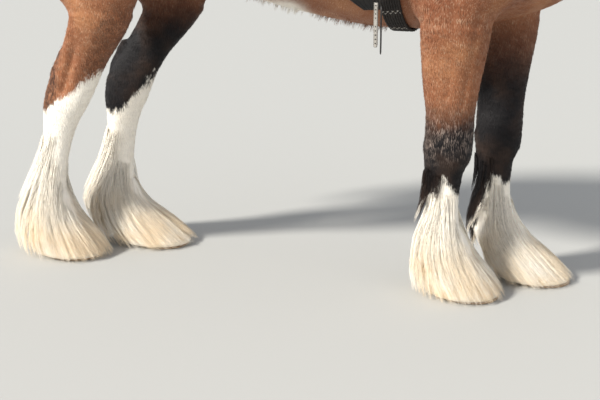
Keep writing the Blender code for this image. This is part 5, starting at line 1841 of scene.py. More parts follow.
@dataclass
class TuftTree:
    """Geometry Nodes that stand a small tuft on each root and turn it along the coat's lie."""

    patch: float = 0.003

    def build(self) -> bpy.types.NodeTree:
        """Builds the tree, whose inputs are roots, a tuft, its size, how far it lifts, a seed and a material."""
        g, given, out = Graph.group(
            "coat_tufts",
            "GeometryNodeTree",
            [
                ("Geometry", "Geometry"),
                ("Tuft", "Object"),
                ("Size", "Float"),
                ("Lift", "Float"),
                ("Seed", "Int"),
                ("Material", "Material"),
            ],
            [("Geometry", "Geometry")],
        )
        points = g.add("GeometryNodeMeshToPoints", {"Mesh": given.outputs["Geometry"]})
        facing = g.add("GeometryNodeInputNamedAttribute", {"Name": "facing"}, data_type="FLOAT_VECTOR")
        lie = g.add("GeometryNodeInputNamedAttribute", {"Name": "lie"}, data_type="FLOAT_VECTOR")
        size = g.add("GeometryNodeInputNamedAttribute", {"Name": "size"}, data_type="FLOAT")
        flat = g.add(
            "FunctionNodeAxesToRotation",
            {"Primary Axis": facing, "Secondary Axis": lie},
            primary_axis="Z",
            secondary_axis="X",
        )
        lift = g.add(
            "FunctionNodeRandomValue",
            {"Min": 0.4, "Max": 1.6, "Seed": given.outputs["Seed"]},
            data_type="FLOAT",
        )
        sway = g.add(
            "FunctionNodeRandomValue",
            {"Min": -0.22, "Max": 0.22, "Seed": g.plus(given.outputs["Seed"], 1.0)},
            data_type="FLOAT",
        )
        lifted = g.times(g.times(lift, given.outputs["Lift"]), -1.0)
        turn = g.add("ShaderNodeCombineXYZ", {"Y": lifted, "Z": sway})
        local = g.add("FunctionNodeEulerToRotation", {"Euler": turn})
        rotation = g.add(
            "FunctionNodeRotateRotation", {"Rotation": flat, "Rotate By": local}, rotation_space="LOCAL"
        )
        tuft = g.add("GeometryNodeObjectInfo", {"Object": given.outputs["Tuft"]}, transform_space="ORIGINAL")
        scaled = g.times(size, given.outputs["Size"])
        placed = g.add(
            "GeometryNodeInstanceOnPoints",
            {
                "Points": points,
                "Instance": tuft.outputs["Geometry"],
                "Rotation": rotation,
                "Scale": g.add("ShaderNodeCombineXYZ", {"X": scaled, "Y": scaled, "Z": scaled}),
            },
        )
        realized = g.add("GeometryNodeRealizeInstances", {"Geometry": placed})
        bake = g.add("GeometryNodeInputNamedAttribute", {"Name": "bake"}, data_type="FLOAT_VECTOR")
        local_place = g.add("GeometryNodeInputNamedAttribute", {"Name": "own_place"}, data_type="FLOAT_VECTOR")
        patch = g.vector("ADD", bake, g.vector("SCALE", local_place, self.patch))
        stored = g.add(
            "GeometryNodeStoreNamedAttribute",
            {"Geometry": realized, "Name": "OFBake", "Value": patch},
            data_type="FLOAT2",
            domain="CORNER",
        )
        dressed = g.add("GeometryNodeSetMaterial", {"Geometry": stored, "Material": given.outputs["Material"]})
        g.feed(out.inputs["Geometry"], dressed)
        return g.tree


class CoatPatch(NamedTuple):
    """One piece of the short coat: where it lies and how dense and long its tufts are."""

    name: str
    holds: Callable[[Array], Array]
    tufts: int
    size: float
    lift: float


def is_leg(points: Array) -> Array:
    """Points low enough to be on a leg."""
    return points[:, 2] < 0.90


def is_front(points: Array) -> Array:
    """Points ahead of the shoulders' hind edge."""
    return points[:, 0] > 0.34


def is_head(points: Array) -> Array:
    """Points on the head."""
    return (points[:, 0] > 1.27) & (points[:, 2] < 2.30)


COAT_PATCHES = (
    CoatPatch("coat_fore_legs", lambda p: is_leg(p) & is_front(p), 11000, 0.014, 0.15),
    CoatPatch("coat_hind_legs", lambda p: is_leg(p) & ~is_front(p), 11000, 0.014, 0.15),
    CoatPatch("coat_quarters", lambda p: ~is_leg(p) & (p[:, 0] < -0.24), 8500, 0.018, 0.11),
    CoatPatch("coat_barrel", lambda p: ~is_leg(p) & (p[:, 0] >= -0.24) & ~is_front(p), 6500, 0.018, 0.11),
    CoatPatch("coat_shoulders", lambda p: ~is_leg(p) & is_front(p) & (p[:, 0] < 1.0), 8500, 0.018, 0.11),
    CoatPatch("coat_neck", lambda p: (p[:, 0] >= 1.0) & ~is_head(p), 5000, 0.017, 0.11),
    CoatPatch("coat_head", is_head, 7500, 0.0085, 0.09),
)


@dataclass
class ShortCoat:
    """Short hair that lies over the skin and breaks its outline."""

    hide: Hide
    tree: bpy.types.NodeTree
    rng: np.random.Generator
    blades: int = 3
    bare: tuple = ()

    def tuft(self) -> bpy.types.Object:
        """A few flat pointed hairs side by side, one unit long."""
        bm = bmesh.new()
        spread = np.linspace(-0.32, 0.32, self.blades)
        for i, y in enumerate(spread):
            length = 1.0 - 0.18 * (i % 2)
            half = 0.085
            root = [(0, y - half, 0), (0, y + half, 0), (0.05, y, 0.030)]
            tip = (length, y * 1.5 + 0.08 * (-1) ** i, 0.012)
            corners = [bm.verts.new(point) for point in root] + [bm.verts.new(tip)]
            for a, b, c in ((0, 2, 1), (0, 1, 3), (1, 2, 3), (2, 0, 3)):
                bm.faces.new((corners[a], corners[b], corners[c]))
        obj = new_object("tuft", bm)
        points, _ = vertex_arrays(obj.data)
        own = np.stack([points[:, 0] - 0.5, points[:, 1], points[:, 2] * 0], axis=1)
        store(obj.data, "own_place", own)
        return obj

    @staticmethod
    def lie(points: Array, normals: Array) -> Array:
        """Which way the coat lies at each point.

        Args:
            points: Roots.
            normals: The skin's normals there.

        Returns:
            Unit vectors along the skin.
        """
        x, _, z = points.T
        body = np.array([-0.92, 0.0, -0.38])
        neck = np.array([-0.62, 0.0, -0.78])
        down = np.array([-0.10, 0.0, -1.0])
        thigh = np.array([-0.45, 0.0, -0.89])
        face = np.array(FACE_DOWN)
        flow = np.tile(body, (len(points), 1))
        for share, way in (
            (eased(-0.30, -0.60, x), thigh),
            (eased(0.80, 1.05, x) * eased(1.4, 1.6, z), neck),
            (eased(0.90, 1.02, x) * eased(1.55, 1.35, z), down),
            (eased(1.08, 0.90, z), down),
            (eased(1.26, 1.34, x), face),
        ):
            flow = flow * (1 - share[:, None]) + way * share[:, None]
        flow -= normals * (flow * normals).sum(axis=1, keepdims=True)
        return unit(flow)

    def roots(self, patch: CoatPatch) -> tuple[Array, Array]:
        """Spreads roots evenly over one patch.

        Args:
            patch: The patch.

        Returns:
            Points and normals of the roots.
        """
        corners = self.hide.points[self.hide.triangles]
        middles = corners.mean(axis=1)
        inside = patch.holds(middles)
        for low, high in self.bare:
            inside &= ~np.all((middles > low) & (middles < high), axis=1)
        normal = np.cross(corners[:, 1] - corners[:, 0], corners[:, 2] - corners[:, 0])
        areas = np.linalg.norm(normal, axis=1) * inside
        chosen = self.rng.choice(len(areas), patch.tufts, p=areas / areas.sum())
        a, b = np.sqrt(self.rng.uniform(0, 1, patch.tufts)), self.rng.uniform(0, 1, patch.tufts)
        weights = np.stack([1 - a, a * (1 - b), a * b], axis=1)[..., None]
        points = (corners[chosen] * weights).sum(axis=1)
        normals = unit((self.hide.normals[self.hide.triangles[chosen]] * weights).sum(axis=1))
        return points, normals

    def build(self, material: bpy.types.Material) -> None:
        """Builds every patch of the coat."""
        tuft = self.tuft()
        for number, patch in enumerate(COAT_PATCHES):
            points, normals = self.roots(patch)
            mesh = bpy.data.meshes.new(patch.name)
            mesh.vertices.add(len(points))
            sunk = points - normals * 0.0006
            mesh.vertices.foreach_set("co", sunk.astype(np.float32).ravel())
            bake = np.concatenate([BakeMap.places(points), np.zeros((len(points), 1))], axis=1)
            rows = {
                "facing": normals,
                "lie": self.lie(points, normals),
                "root": points,
                "bake": bake,
                "size": self.rng.uniform(0.75, 1.25, len(points)),
                "tint": self.rng.uniform(0, 1, len(points)),
            }
            for label, values in rows.items():
                store(mesh, label, values)
            obj = link_object(patch.name, mesh)
            inputs = {"Tuft": tuft, "Size": patch.size, "Lift": patch.lift, "Seed": number}
            run_tree(obj, self.tree, {**inputs, "Material": material})
            forget(obj.data, ("facing", "lie", "bake", "size", "own_place"))
            finish_piece(obj, material, smooth=False)
        remove([tuft])


class ManeLayer(NamedTuple):
    """One layer of the mane: how many locks, how long, and how far off the neck."""

    locks: int
    drop: float
    off: float


MANE_LAYERS = (ManeLayer(34, 0.33, 0.007), ManeLayer(32, 0.29, 0.014), ManeLayer(30, 0.22, 0.021))


@dataclass
class Mane:
    """Mane on the right side of the neck, and the forelock between the ears."""

    hide: Hide
    start: float = 0.20
    end: float = 0.95
    hairs_per_lock: int = 44
    thickness: float = 0.0006

    def locks(self, rng: np.random.Generator) -> list[Lock]:
        """Locks that part along the crest and fall down the right side."""
        found = []
        for layer in MANE_LAYERS:
            for i in range(layer.locks):
                t = self.start + (self.end - self.start) * (i + rng.uniform(0.2, 0.8)) / layer.locks
                crest = neck_crest(t)
                top = self.hide.on_top(crest.x, 0.0)
                length = layer.drop * rng.uniform(0.82, 1.10) * min(1.0, 0.55 + (1 - t) * 1.5)
                sway = rng.uniform(-0.035, 0.004)
                path = [top + Vector((0.004, 0.022, -0.008)), top + Vector((0.0, -0.002, 0.007 + layer.off * 0.5))]
                facings = [Vector((0, 0.2, 1)), Vector((0, -0.5, 0.9))]
                for down in (0.22, 0.48, 0.74, 1.0):
                    wave = sway * down + rng.uniform(-0.004, 0.004)
                    lift = layer.off * (1.0 + 0.25 * down)
                    spot = self.hide.on_side(crest.x + wave, top.z - 0.022 - length * down, -1.0, lift)
                    path.append(spot)
                    facings.append(Vector((0, -1, 0.2 * (1 - down))))
                found.append(Lock(np.array(path), np.array(facings), 0.046, 0.012))
        return found

    def forelock(self, rng: np.random.Generator) -> list[Lock]:
        """Locks from between the ears down the forehead."""
        found = []
        for i in range(13):
            across = (i - 6) * 0.0072
            lean = rng.uniform(-0.010, 0.012)
            length = rng.uniform(0.15, 0.225)
            path = [np.array(on_head(-0.035, across * 0.35, -0.022))]
            facings = [np.array(FACE_OUT)]
            for down, off in ((0.12, 0.009), (0.40, 0.013), (0.70, 0.011), (1.0, 0.006)):
                spread = across * (0.45 + 0.85 * down) + lean * down
                path.append(np.array(self.hide.on_face(length * down, spread, off + 0.003 * (i % 2))))
                facings.append(np.array(FACE_OUT))
            found.append(Lock(np.array(path), np.array(facings), 0.022, 0.010))
        return found

    def build(self, dresser: HairDresser, material: bpy.types.Material) -> None:
        """Builds the mane and the forelock."""
        dresser.steps = 6
        for name, locks in (("mane", self.locks(dresser.rng)), ("forelock", self.forelock(dresser.rng))):
            strands = [dresser.fill(lock, self.hairs_per_lock, 0.30, 0.006, 0.66) for lock in locks]
            hair = dresser.mesh(name, np.concatenate(strands), self.thickness, material)
            finish_piece(hair, material)


TAIL_HAIR = ((1.47, 0.045, 0.048), (1.36, 0.046, 0.058), (1.25, 0.056, 0.074), (1.10, 0.056, 0.078), (0.98, 0.036, 0.052))


class TailTier(NamedTuple):
    """One tier of the tail's locks."""

    locks: int
    top: float
    bottom: float
    rise: float


TAIL_TIERS = (
    TailTier(26, 1.26, 0.99, -0.010),
    TailTier(26, 1.36, 1.02, 0.0),
    TailTier(24, 1.45, 1.08, 0.007),
    TailTier(18, 1.51, 1.22, 0.011),
)


@dataclass
class Tail:
    """Hair of the tail round its dock."""

    hairs_per_lock: int = 30
    thickness: float = 0.00065

    @staticmethod
    def place(angle: float, height: float, share: float) -> tuple[Vector, Vector]:
        """Place in the tail's hair at an angle from straight back, and the way it faces."""
        along, across = (float(v) for v in columns_at(TAIL_HAIR, height, (1, 2)))
        facing = Vector((-math.cos(angle), math.sin(angle), 0))
        heights = [p[1] for p in TAIL_PATH[2:]]
        x = float(curve_through(heights, [p[0] for p in TAIL_PATH[2:]], height))
        return Vector((x, 0, height)) + Vector((facing.x * along, facing.y * across, 0)) * share, facing

    def locks(self, rng: np.random.Generator) -> list[Lock]:
        """Locks in tiers that overlap downwards."""
        found = []
        for tier in TAIL_TIERS:
            for i in range(tier.locks):
                angle = TAU * i / tier.locks + rng.uniform(-0.15, 0.15)
                bend = rng.uniform(-0.2, 0.2)
                end = tier.bottom + rng.uniform(0.0, 0.05)
                path = []
                facings = []
                for down, share in ((0.0, 0.35), (0.25, 0.75), (0.5, 0.9), (0.75, 0.9), (1.0, rng.uniform(0.5, 0.9))):
                    height = tier.top + (end - tier.top) * down
                    spot, facing = self.place(angle + bend * down, height, share)
                    path.append(spot + facing * tier.rise * min(1.0, down * 3))
                    facings.append(facing)
                found.append(Lock(np.array(path), np.array(facings), 0.036, 0.014))
        return found

    def build(self, dresser: HairDresser, material: bpy.types.Material) -> None:
        """Builds the tail's hair."""
        dresser.steps = 6
        strands = [dresser.fill(lock, self.hairs_per_lock, 0.35, 0.006, 0.7) for lock in self.locks(dresser.rng)]
        hair = dresser.mesh("tail_hair", np.concatenate(strands), self.thickness, material)
        finish_piece(hair, material)


@dataclass
class Fringe:
    """Loose hair under the belly, in the ears, and on lids and chin."""

    hide: Hide

    def belly(self, rng: np.random.Generator) -> list[Lock]:
        """Short locks that hang along the middle of the belly."""
        found = []
        for i in range(150):
            x = -0.30 + 0.68 * (i + rng.uniform(0, 1)) / 150
            y = rng.normal(0.0, 0.035)
            root = self.hide.from_below(x, y)
            length = rng.uniform(0.016, 0.034)
            lean = Vector((-0.35, rng.uniform(-0.25, 0.25), -1.0)).normalized()
            path = [root + Vector((0, 0, 0.004)) + lean * length * d for d in (0.0, 0.5, 1.0)]
            found.append(Lock(np.array(path), np.tile((0.0, -1.0, 0.0), (3, 1)), 0.016, 0.010))
        return found

    def ears(self, flesh: Flesh, rng: np.random.Generator) -> list[Lock]:
        """Soft hair inside the ears."""
        found = []
        for side in Side:
            base, axis, facing, across = ear_frame(side)
            for _ in range(26):
                up = rng.uniform(0.18, 0.62) * flesh.ear_length
                root = base + axis * up + across * rng.uniform(-0.016, 0.016) - facing * 0.012
                way = axis * 0.9 + facing * rng.uniform(0.4, 0.9) + across * rng.uniform(-0.4, 0.4)
                way.normalize()
                length = rng.uniform(0.020, 0.034)
                path = [root + way * length * d for d in (0.0, 0.5, 1.0)]
                found.append(Lock(np.array(path), np.tile(tuple(facing), (3, 1)), 0.010, 0.006))
        return found

    def lashes(self, flesh: Flesh, rng: np.random.Generator) -> list[Lock]:
        """Lashes along the upper lids."""
        found = []
        for side in Side:
            centre, look = flesh.eye_frame(side)
            length = (Vector((1, 0, 0)) - look * look.x).normalized()
            height = Vector((0, 0, 1)) - look * look.z
            for t in np.linspace(-0.85, 0.85, 26):
                turn = t * 0.95
                up = math.cos(t * 1.3) * 0.46
                way = (look * math.cos(turn) + length * math.sin(turn) + height * up).normalized()
                root = centre + way * (EYE_RADIUS + flesh.lid_thickness * 0.8)
                tip = (look * 0.8 + height * rng.uniform(-0.1, 0.25) + length * math.sin(turn) * 0.6).normalized()
                path = [root + tip * rng.uniform(0.014, 0.020) * d - Vector((0, 0, 0.004 * d * d)) for d in (0.0, 0.5, 1.0)]
                found.append(Lock(np.array(path), np.tile((0.0, 0.0, 1.0), (3, 1)), 0.002, 0.001))
        return found

    def whiskers(self, rng: np.random.Generator) -> list[Lock]:
        """Single long hairs on lips and chin."""
        found = []
        middle = on_head(0.60, 0, -0.12)
        for i in range(90):
            turn = rng.uniform(-1.0, 1.0) * 2.2
            lean = rng.uniform(-0.5, 0.75)
            way = (-FACE_OUT * math.cos(turn) * 0.9 + Vector((0, math.sin(turn), 0)) + FACE_DOWN * lean).normalized()
            hit, normal = self.hide.tree.ray_cast(middle + way * 0.3, -way)[:2]
            length = rng.uniform(0.010, 0.030)
            tip = (normal + FACE_DOWN * 0.5 + Vector((0, 0, -0.3))).normalized()
            path = [hit - normal * 0.002, hit + tip * length * 0.5, hit + tip * length + Vector((0, 0, -0.2 * length))]
            found.append(Lock(np.array(path), np.tile((0.0, 0.3, 1.0), (3, 1)), 0.0001, 0.0001))
        return found

    def build(self, flesh: Flesh, dresser: HairDresser, pale: bpy.types.Material, dark: bpy.types.Material) -> None:
        """Builds all the loose hair."""
        dresser.steps = 4
        rng = dresser.rng
        for name, locks, count, thickness, material, slot in (
            ("belly_fringe", self.belly(rng), 9, 0.0006, pale, "bay_coat"),
            ("ear_hair", self.ears(flesh, rng), 12, 0.0005, dark, "bay_coat"),
            ("lashes", self.lashes(flesh, rng), 3, 0.00035, dark, "black_hair"),
            ("whiskers", self.whiskers(rng), 1, 0.0004, dark, "black_hair"),
        ):
            strands = [dresser.fill(lock, count, 0.6, 0.002, 0.6) for lock in locks]
            finish_piece(dresser.mesh(name, np.concatenate(strands), thickness, material), material)


# Hooves and eyes


@dataclass
class Hoof:
    """Horny hoof with growth rings, up to its sloping coronet."""

    leg: Leg
    segments: int = 72
    levels: int = 26
    coronet_height: float = 0.072
    coronet_slope: float = math.radians(18.0)

    def build(self, material: bpy.types.Material) -> bpy.types.Object:
        """Builds the hoof in place of the frame's."""
        turn = self.leg.side.value * self.leg.pose.toe_out
        forward = turned(Vector((1, 0, 0)), turn)
        sideways = turned(Vector((0, self.leg.side.value, 0)), turn)
        normal = turned(Vector((-math.sin(self.coronet_slope), 0, math.cos(self.coronet_slope))), turn)
        top_middle = self.leg.axis(self.coronet_height)
        sole_middle = self.leg.axis(0.0)
        sole = superellipse(sole_middle, forward, sideways, (0.100, 0.084), (0.092, 0.092), 2.2, self.segments)
        rim = superellipse(top_middle, forward, sideways, (0.076, 0.064), (0.070, 0.070), 2.15, self.segments)
        top = []
        for point in rim:
            point.z = top_middle.z - ((point - top_middle).dot(normal)) / normal.z
            top.append(point)
        rings = [[sole_middle.lerp(point, 0.3) for point in sole], [sole_middle.lerp(point, 0.97) for point in sole]]
        for level in range(self.levels + 1):
            up = level / self.levels
            ridge = 0.0007 * math.sin(up * 40.0) * (1 - up) + 0.0022 * math.sin(math.pi * up)
            ring = []
            for low, high in zip(sole, top):
                outward = (low - sole_middle).normalized()
                ring.append(low.lerp(high, max(up, 0.012)) + outward * ridge)
            rings.append(ring)
        rings.append([top_middle.lerp(point, 0.9) + Vector((0, 0, 0.002)) for point in top])
        obj = loft(f"{self.leg.name}_hoof_horn", rings)
        return finish_piece(obj, material, [f"{self.leg.name}_hoof"])

    @staticmethod
    def material() -> bpy.types.Material:
        """Brown horn with fine upright grain and growth rings."""
        material, g, shader = CoatMaterials.start("horn")
        place = g.add("ShaderNodeTexCoord").outputs["Object"]
        grain = g.noise(place, 1.0, 3.0, (500, 500, 26))
        rings = g.noise(place, 1.0, 2.0, (12, 12, 230))
        tone = g.ramp(grain, 0.35, 0.7)
        colour = g.blend(tone, (0.20, 0.115, 0.060, 1.0), (0.46, 0.30, 0.17, 1.0))
        colour = g.blend(g.times(g.ramp(rings, 0.5, 0.75), 0.5), colour, (0.12, 0.075, 0.045, 1.0))
        height = g.plus(grain, rings)
        bump = g.add("ShaderNodeBump", {"Height": height, "Strength": 0.4, "Distance": 0.001})
        g.feed(shader.inputs["Base Color"], colour)
        g.feed(shader.inputs["Normal"], bump)
        shader.inputs["Roughness"].default_value = 0.42
        return material


@dataclass
class Eye:
    """Wet dark eyeball with a brown iris and a level oval pupil."""

    side: Side
    cornea: float = 0.0016

    def build(self, flesh: Flesh, material: bpy.types.Material) -> bpy.types.Object:
        """Builds the eyeball in place of the frame's."""
        centre, look = flesh.eye_frame(self.side)
        along = (Vector((0.9, 0, -0.35)) - look * look.dot(Vector((0.9, 0, -0.35)))).normalized()
        upward = look.cross(along)
        bm = bmesh.new()
        bmesh.ops.create_uvsphere(bm, u_segments=64, v_segments=40, radius=1.0)
        own = []
        for vertex in bm.verts:
            x, y, z = vertex.co
            own.append((x, y, z))
            bulge = self.cornea * max(0.0, (z - 0.72) / 0.28) ** 0.5 if z > 0.72 else 0.0
            way = along * x + upward * y + look * z
            vertex.co = centre + way * (EYE_RADIUS + bulge)
        bm.normal_update()
        obj = new_object(f"{self.side.name.lower()}_eyeball", bm)
        store(obj.data, "aim", np.array(own))
        return finish_piece(obj, material, [f"{self.side.name.lower()}_eye"])

    @staticmethod
    def material() -> bpy.types.Material:
        """Wet cornea over iris and pupil."""
        material, g, shader = CoatMaterials.start("wet_eye")
        aim = g.add("ShaderNodeAttribute", attribute_name="aim").outputs["Vector"]
        axes = g.add("ShaderNodeSeparateXYZ", {0: aim})
        x, y, z = axes.outputs
        across = g.math("POWER", g.times(x, 1 / 0.44), 2.0)
        upright = g.math("POWER", g.times(y, 1 / 0.25), 2.0)
        pupil = g.ramp(g.plus(across, upright), 1.15, 0.85)
        out = g.math("SQRT", g.plus(g.math("POWER", x, 2.0), g.math("POWER", y, 2.0)))
        iris_tone = g.noise(aim, 1.0, 3.0, (22, 22, 3))
        iris = g.blend(g.ramp(iris_tone, 0.35, 0.65), (0.022, 0.009, 0.004, 1.0), (0.060, 0.026, 0.010, 1.0))
        colour = g.blend(g.ramp(out, 0.60, 0.70), iris, (0.030, 0.016, 0.011, 1.0))
        colour = g.blend(g.ramp(out, 0.90, 0.99), colour, (0.16, 0.11, 0.09, 1.0))
        colour = g.blend(pupil, colour, (0.002, 0.002, 0.003, 1.0))
        g.feed(shader.inputs["Base Color"], colour)
        shader.inputs["Roughness"].default_value = 0.25
        shader.inputs["Specular IOR Level"].default_value = 0.15
        shader.inputs["Coat Weight"].default_value = 0.55
        shader.inputs["Coat Roughness"].default_value = 0.02
        return material


# Tack


PAD_ANGLE = math.radians(150.0)
PAD_FRONT = ((0.0, 0.60), (0.9, 0.60), (1.5, 0.585), (2.0, 0.545), (2.35, 0.48), (2.62, 0.40))
PAD_BACK = ((0.0, 0.10), (0.9, 0.10), (1.4, 0.13), (1.9, 0.19), (2.3, 0.26), (2.62, 0.35))


@dataclass
class Tack:
    """Pad, surcingle, rings, corded girth and the strap ends that hang beside it."""

    hide: Hide
    pad_thickness: float = 0.013
    strap_front: float = 0.472
    strap_back: float = 0.418
    strap_end: float = math.radians(104.0)
    girth_front: float = 0.470
    girth_back: float = 0.405
    girth_start: float = math.radians(112.0)
    ring_radius: float = 0.036
    ring_wire: float = 0.004
    cords: int = 8
    cord_radius: float = 0.0046

    @staticmethod
    def pad_edge(table: tuple, angle: float) -> float:
        """Where one edge of the pad is, at an angle round the barrel."""
        return float(curve_through([p[0] for p in table], [p[1] for p in table], abs(angle)))

    def sheet(
        self,
        name: str,
        angles: Array,
        back: Callable[[float], float],
        front: Callable[[float], float],
        columns: int,
        outer: Callable[[float, float], float],
        inner: float,
    ) -> bpy.types.Object:
        """Closed sheet laid round the barrel.

        Args:
            name: Name of the piece.
            angles: Turns about the barrel's middle, from straight up.
            back: Hind edge at a turn.
            front: Front edge at a turn.
            columns: Points across the sheet.
            outer: Height of the outside off the skin, at shares along and across the sheet.
            inner: Height of the inside off the skin.

        Returns:
            The sheet.
        """
        rings = []
        for number, angle in enumerate(angles):
            along = number / (len(angles) - 1)
            xs = [back(angle) + (front(angle) - back(angle)) * j / (columns - 1) for j in range(columns)]
            top = [self.hide.round_barrel(x, angle, outer(along, j / (columns - 1))) for j, x in enumerate(xs)]
            under = [self.hide.round_barrel(x, angle, inner) for x in xs]
            rings.append(top + under[::-1])
        return loft(name, rings)

    def pad(self, material: bpy.types.Material) -> None:
        """Padded black pad, crowned between its sewn channels, with a bound edge."""

        def height(along: float, across: float) -> float:
            edge = min(across, 1 - across, 3 * along, 3 * (1 - along))
            crown = self.pad_thickness * min(1.0, 0.42 + 5.0 * edge) ** 0.5
            channel = 0.0022 * math.exp(-(((across * 7) % 1 - 0.5) / 0.10) ** 2) if 0.07 < across < 0.93 else 0.0
            return crown - channel

        obj = self.sheet(
            "padded_pad",
            np.linspace(-PAD_ANGLE, PAD_ANGLE, 150),
            lambda angle: self.pad_edge(PAD_BACK, angle),
            lambda angle: self.pad_edge(PAD_FRONT, angle),
            64,
            height,
            -0.002,
        )
        finish_piece(obj, material, ["saddle_pad"])
        edge = []
        for table, way in ((PAD_BACK, 1), (PAD_FRONT, -1)):
            for angle in np.linspace(-PAD_ANGLE, PAD_ANGLE, 110)[::way]:
                edge.append(self.hide.round_barrel(self.pad_edge(table, angle), angle, 0.0035))
        self.tube("pad_binding", edge, 0.0045, material, closed=True)

    def tube(
        self,
        name: str,
        line: Sequence[Vector],
        radius: float,
        material: bpy.types.Material,
        closed: bool = False,
        lobes: int = 0,
        twist: float = 0.0,
        nodes: Sequence[str] = (),
    ) -> bpy.types.Object:
        """Round or twisted cord along a line.

        Args:
            name: Name of the piece.
            line: Points along its middle.
            radius: Its radius.
            material: Its finish.
            closed: True where it runs back into its start.
            lobes: Strands that show in its outline, 0 for a round one.
            twist: Turns from end to end.
            nodes: Nodes that it stands for.

        Returns:
            The piece.
        """
        obj = self.tube_mesh(name, line, radius, closed, lobes, twist)
        return finish_piece(obj, material, nodes)

    @staticmethod
    def tube_mesh(
        name: str,
        line: Sequence[Vector],
        radius: float,
        closed: bool = False,
        lobes: int = 0,
        twist: float = 0.0,
    ) -> bpy.types.Object:
        """Mesh of a round or twisted cord along a line."""
        rings = []
        sides = 12
        count = len(line)
        for i, point in enumerate(line):
            before = line[i - 1] if i or closed else point
            after = line[(i + 1) % count] if i < count - 1 or closed else point
            run = (after - before).normalized()
            first = run.cross(Vector((0.02, 0.01, 1)) if abs(run.z) < 0.9 else Vector((1, 0.01, 0))).normalized()
            second = run.cross(first)
            ring = []
            for k in range(sides):
                angle = TAU * k / sides
                bump = 1 + 0.22 * math.cos(lobes * angle + TAU * twist * i / count) if lobes else 1.0
                ring.append(point + (first * math.cos(angle) + second * math.sin(angle)) * radius * bump)
            rings.append(ring)
        return loft(name, rings, closed)

    def strap(self, material: bpy.types.Material, thread: bpy.types.Material) -> None:
        """Webbing strap over the pad, with rounded edges and two rows of stitches."""

        def height(_: float, across: float) -> float:
            return self.pad_thickness + 0.006 * min(1.0, 0.35 + 9 * min(across, 1 - across)) ** 0.5

        obj = self.sheet(
            "webbing_surcingle",
            np.linspace(-self.strap_end, self.strap_end, 120),
            lambda angle: self.strap_back,
            lambda angle: self.strap_front,
            12,
            height,
            self.pad_thickness - 0.003,
        )
        finish_piece(obj, material, ["surcingle"])
        bm = bmesh.new()
        for x in (self.strap_back + 0.007, self.strap_front - 0.007):
            for angle in np.linspace(-self.strap_end * 0.97, self.strap_end * 0.97, 230):
                ends = [self.hide.round_barrel(x, angle + d, self.pad_thickness + 0.0062) for d in (-0.0026, 0.0026)]
                stitch = self.tube_mesh("stitch", ends, 0.0007)
                bm.from_mesh(stitch.data)
                remove([stitch])
        finish_piece(new_object("surcingle_stitches", bm), thread)

    def girth(self, cord: bpy.types.Material, pale: bpy.types.Material) -> None:
        """Twisted cords under the chest from ring to ring, held side by side by woven bars."""
        angles = np.linspace(self.girth_start, TAU - self.girth_start, 90)
        bm = bmesh.new()
        xs = np.linspace(self.girth_back + 0.004, self.girth_front - 0.004, self.cords)
        for x in xs:
            middle = (self.girth_back + self.girth_front) / 2
            line = []
            for angle in angles:
                near_end = min(angle - self.girth_start, TAU - self.girth_start - angle)
                gather = 0.62 + 0.38 * min(1.0, near_end / 0.22)
                line.append(self.hide.round_barrel(middle + (x - middle) * gather, angle, 0.0075))
            piece = self.tube_mesh("cord", line, self.cord_radius, lobes=3, twist=46.0)
            bm.from_mesh(piece.data)
            remove([piece])
        finish_piece(new_object("corded_girth", bm), cord, ["girth"])
        bm = bmesh.new()
        for angle in np.linspace(self.girth_start + 0.20, TAU - self.girth_start - 0.20, 9):
            for sign in (-1, 1):
                line = []
                for t in np.linspace(0, 1, 40):
                    weave = sign * 0.0052 * math.cos(math.pi * t * (self.cords - 1))
                    line.append(self.hide.round_barrel(xs[0] + (xs[-1] - xs[0]) * t, angle + 0.010 * sign, 0.0075 + weave))
                piece = self.tube_mesh("bar", line, 0.0018)
                bm.from_mesh(piece.data)
                remove([piece])
        finish_piece(new_object("girth_bars", bm), pale)

    def ring(self, side: Side, material: bpy.types.Material) -> None:
        """Steel ring that joins the surcingle to the girth."""
        angle = side.value * (self.strap_end + self.girth_start) / 2
        centre = self.hide.round_barrel((self.girth_front + self.girth_back) / 2, angle, self.pad_thickness + 0.012)
        outward = Vector((0, math.sin(angle), math.cos(angle)))
        down = outward.cross(Vector((1, 0, 0)))
        line = [
            centre + (Vector((1, 0, 0)) * math.cos(t) + down * math.sin(t)) * self.ring_radius
            for t in np.arange(64) * TAU / 64
        ]
        name = side.name.lower()
        self.tube(f"{name}_steel_ring", line, self.ring_wire, material, True, nodes=[f"{name}_girth_ring"])

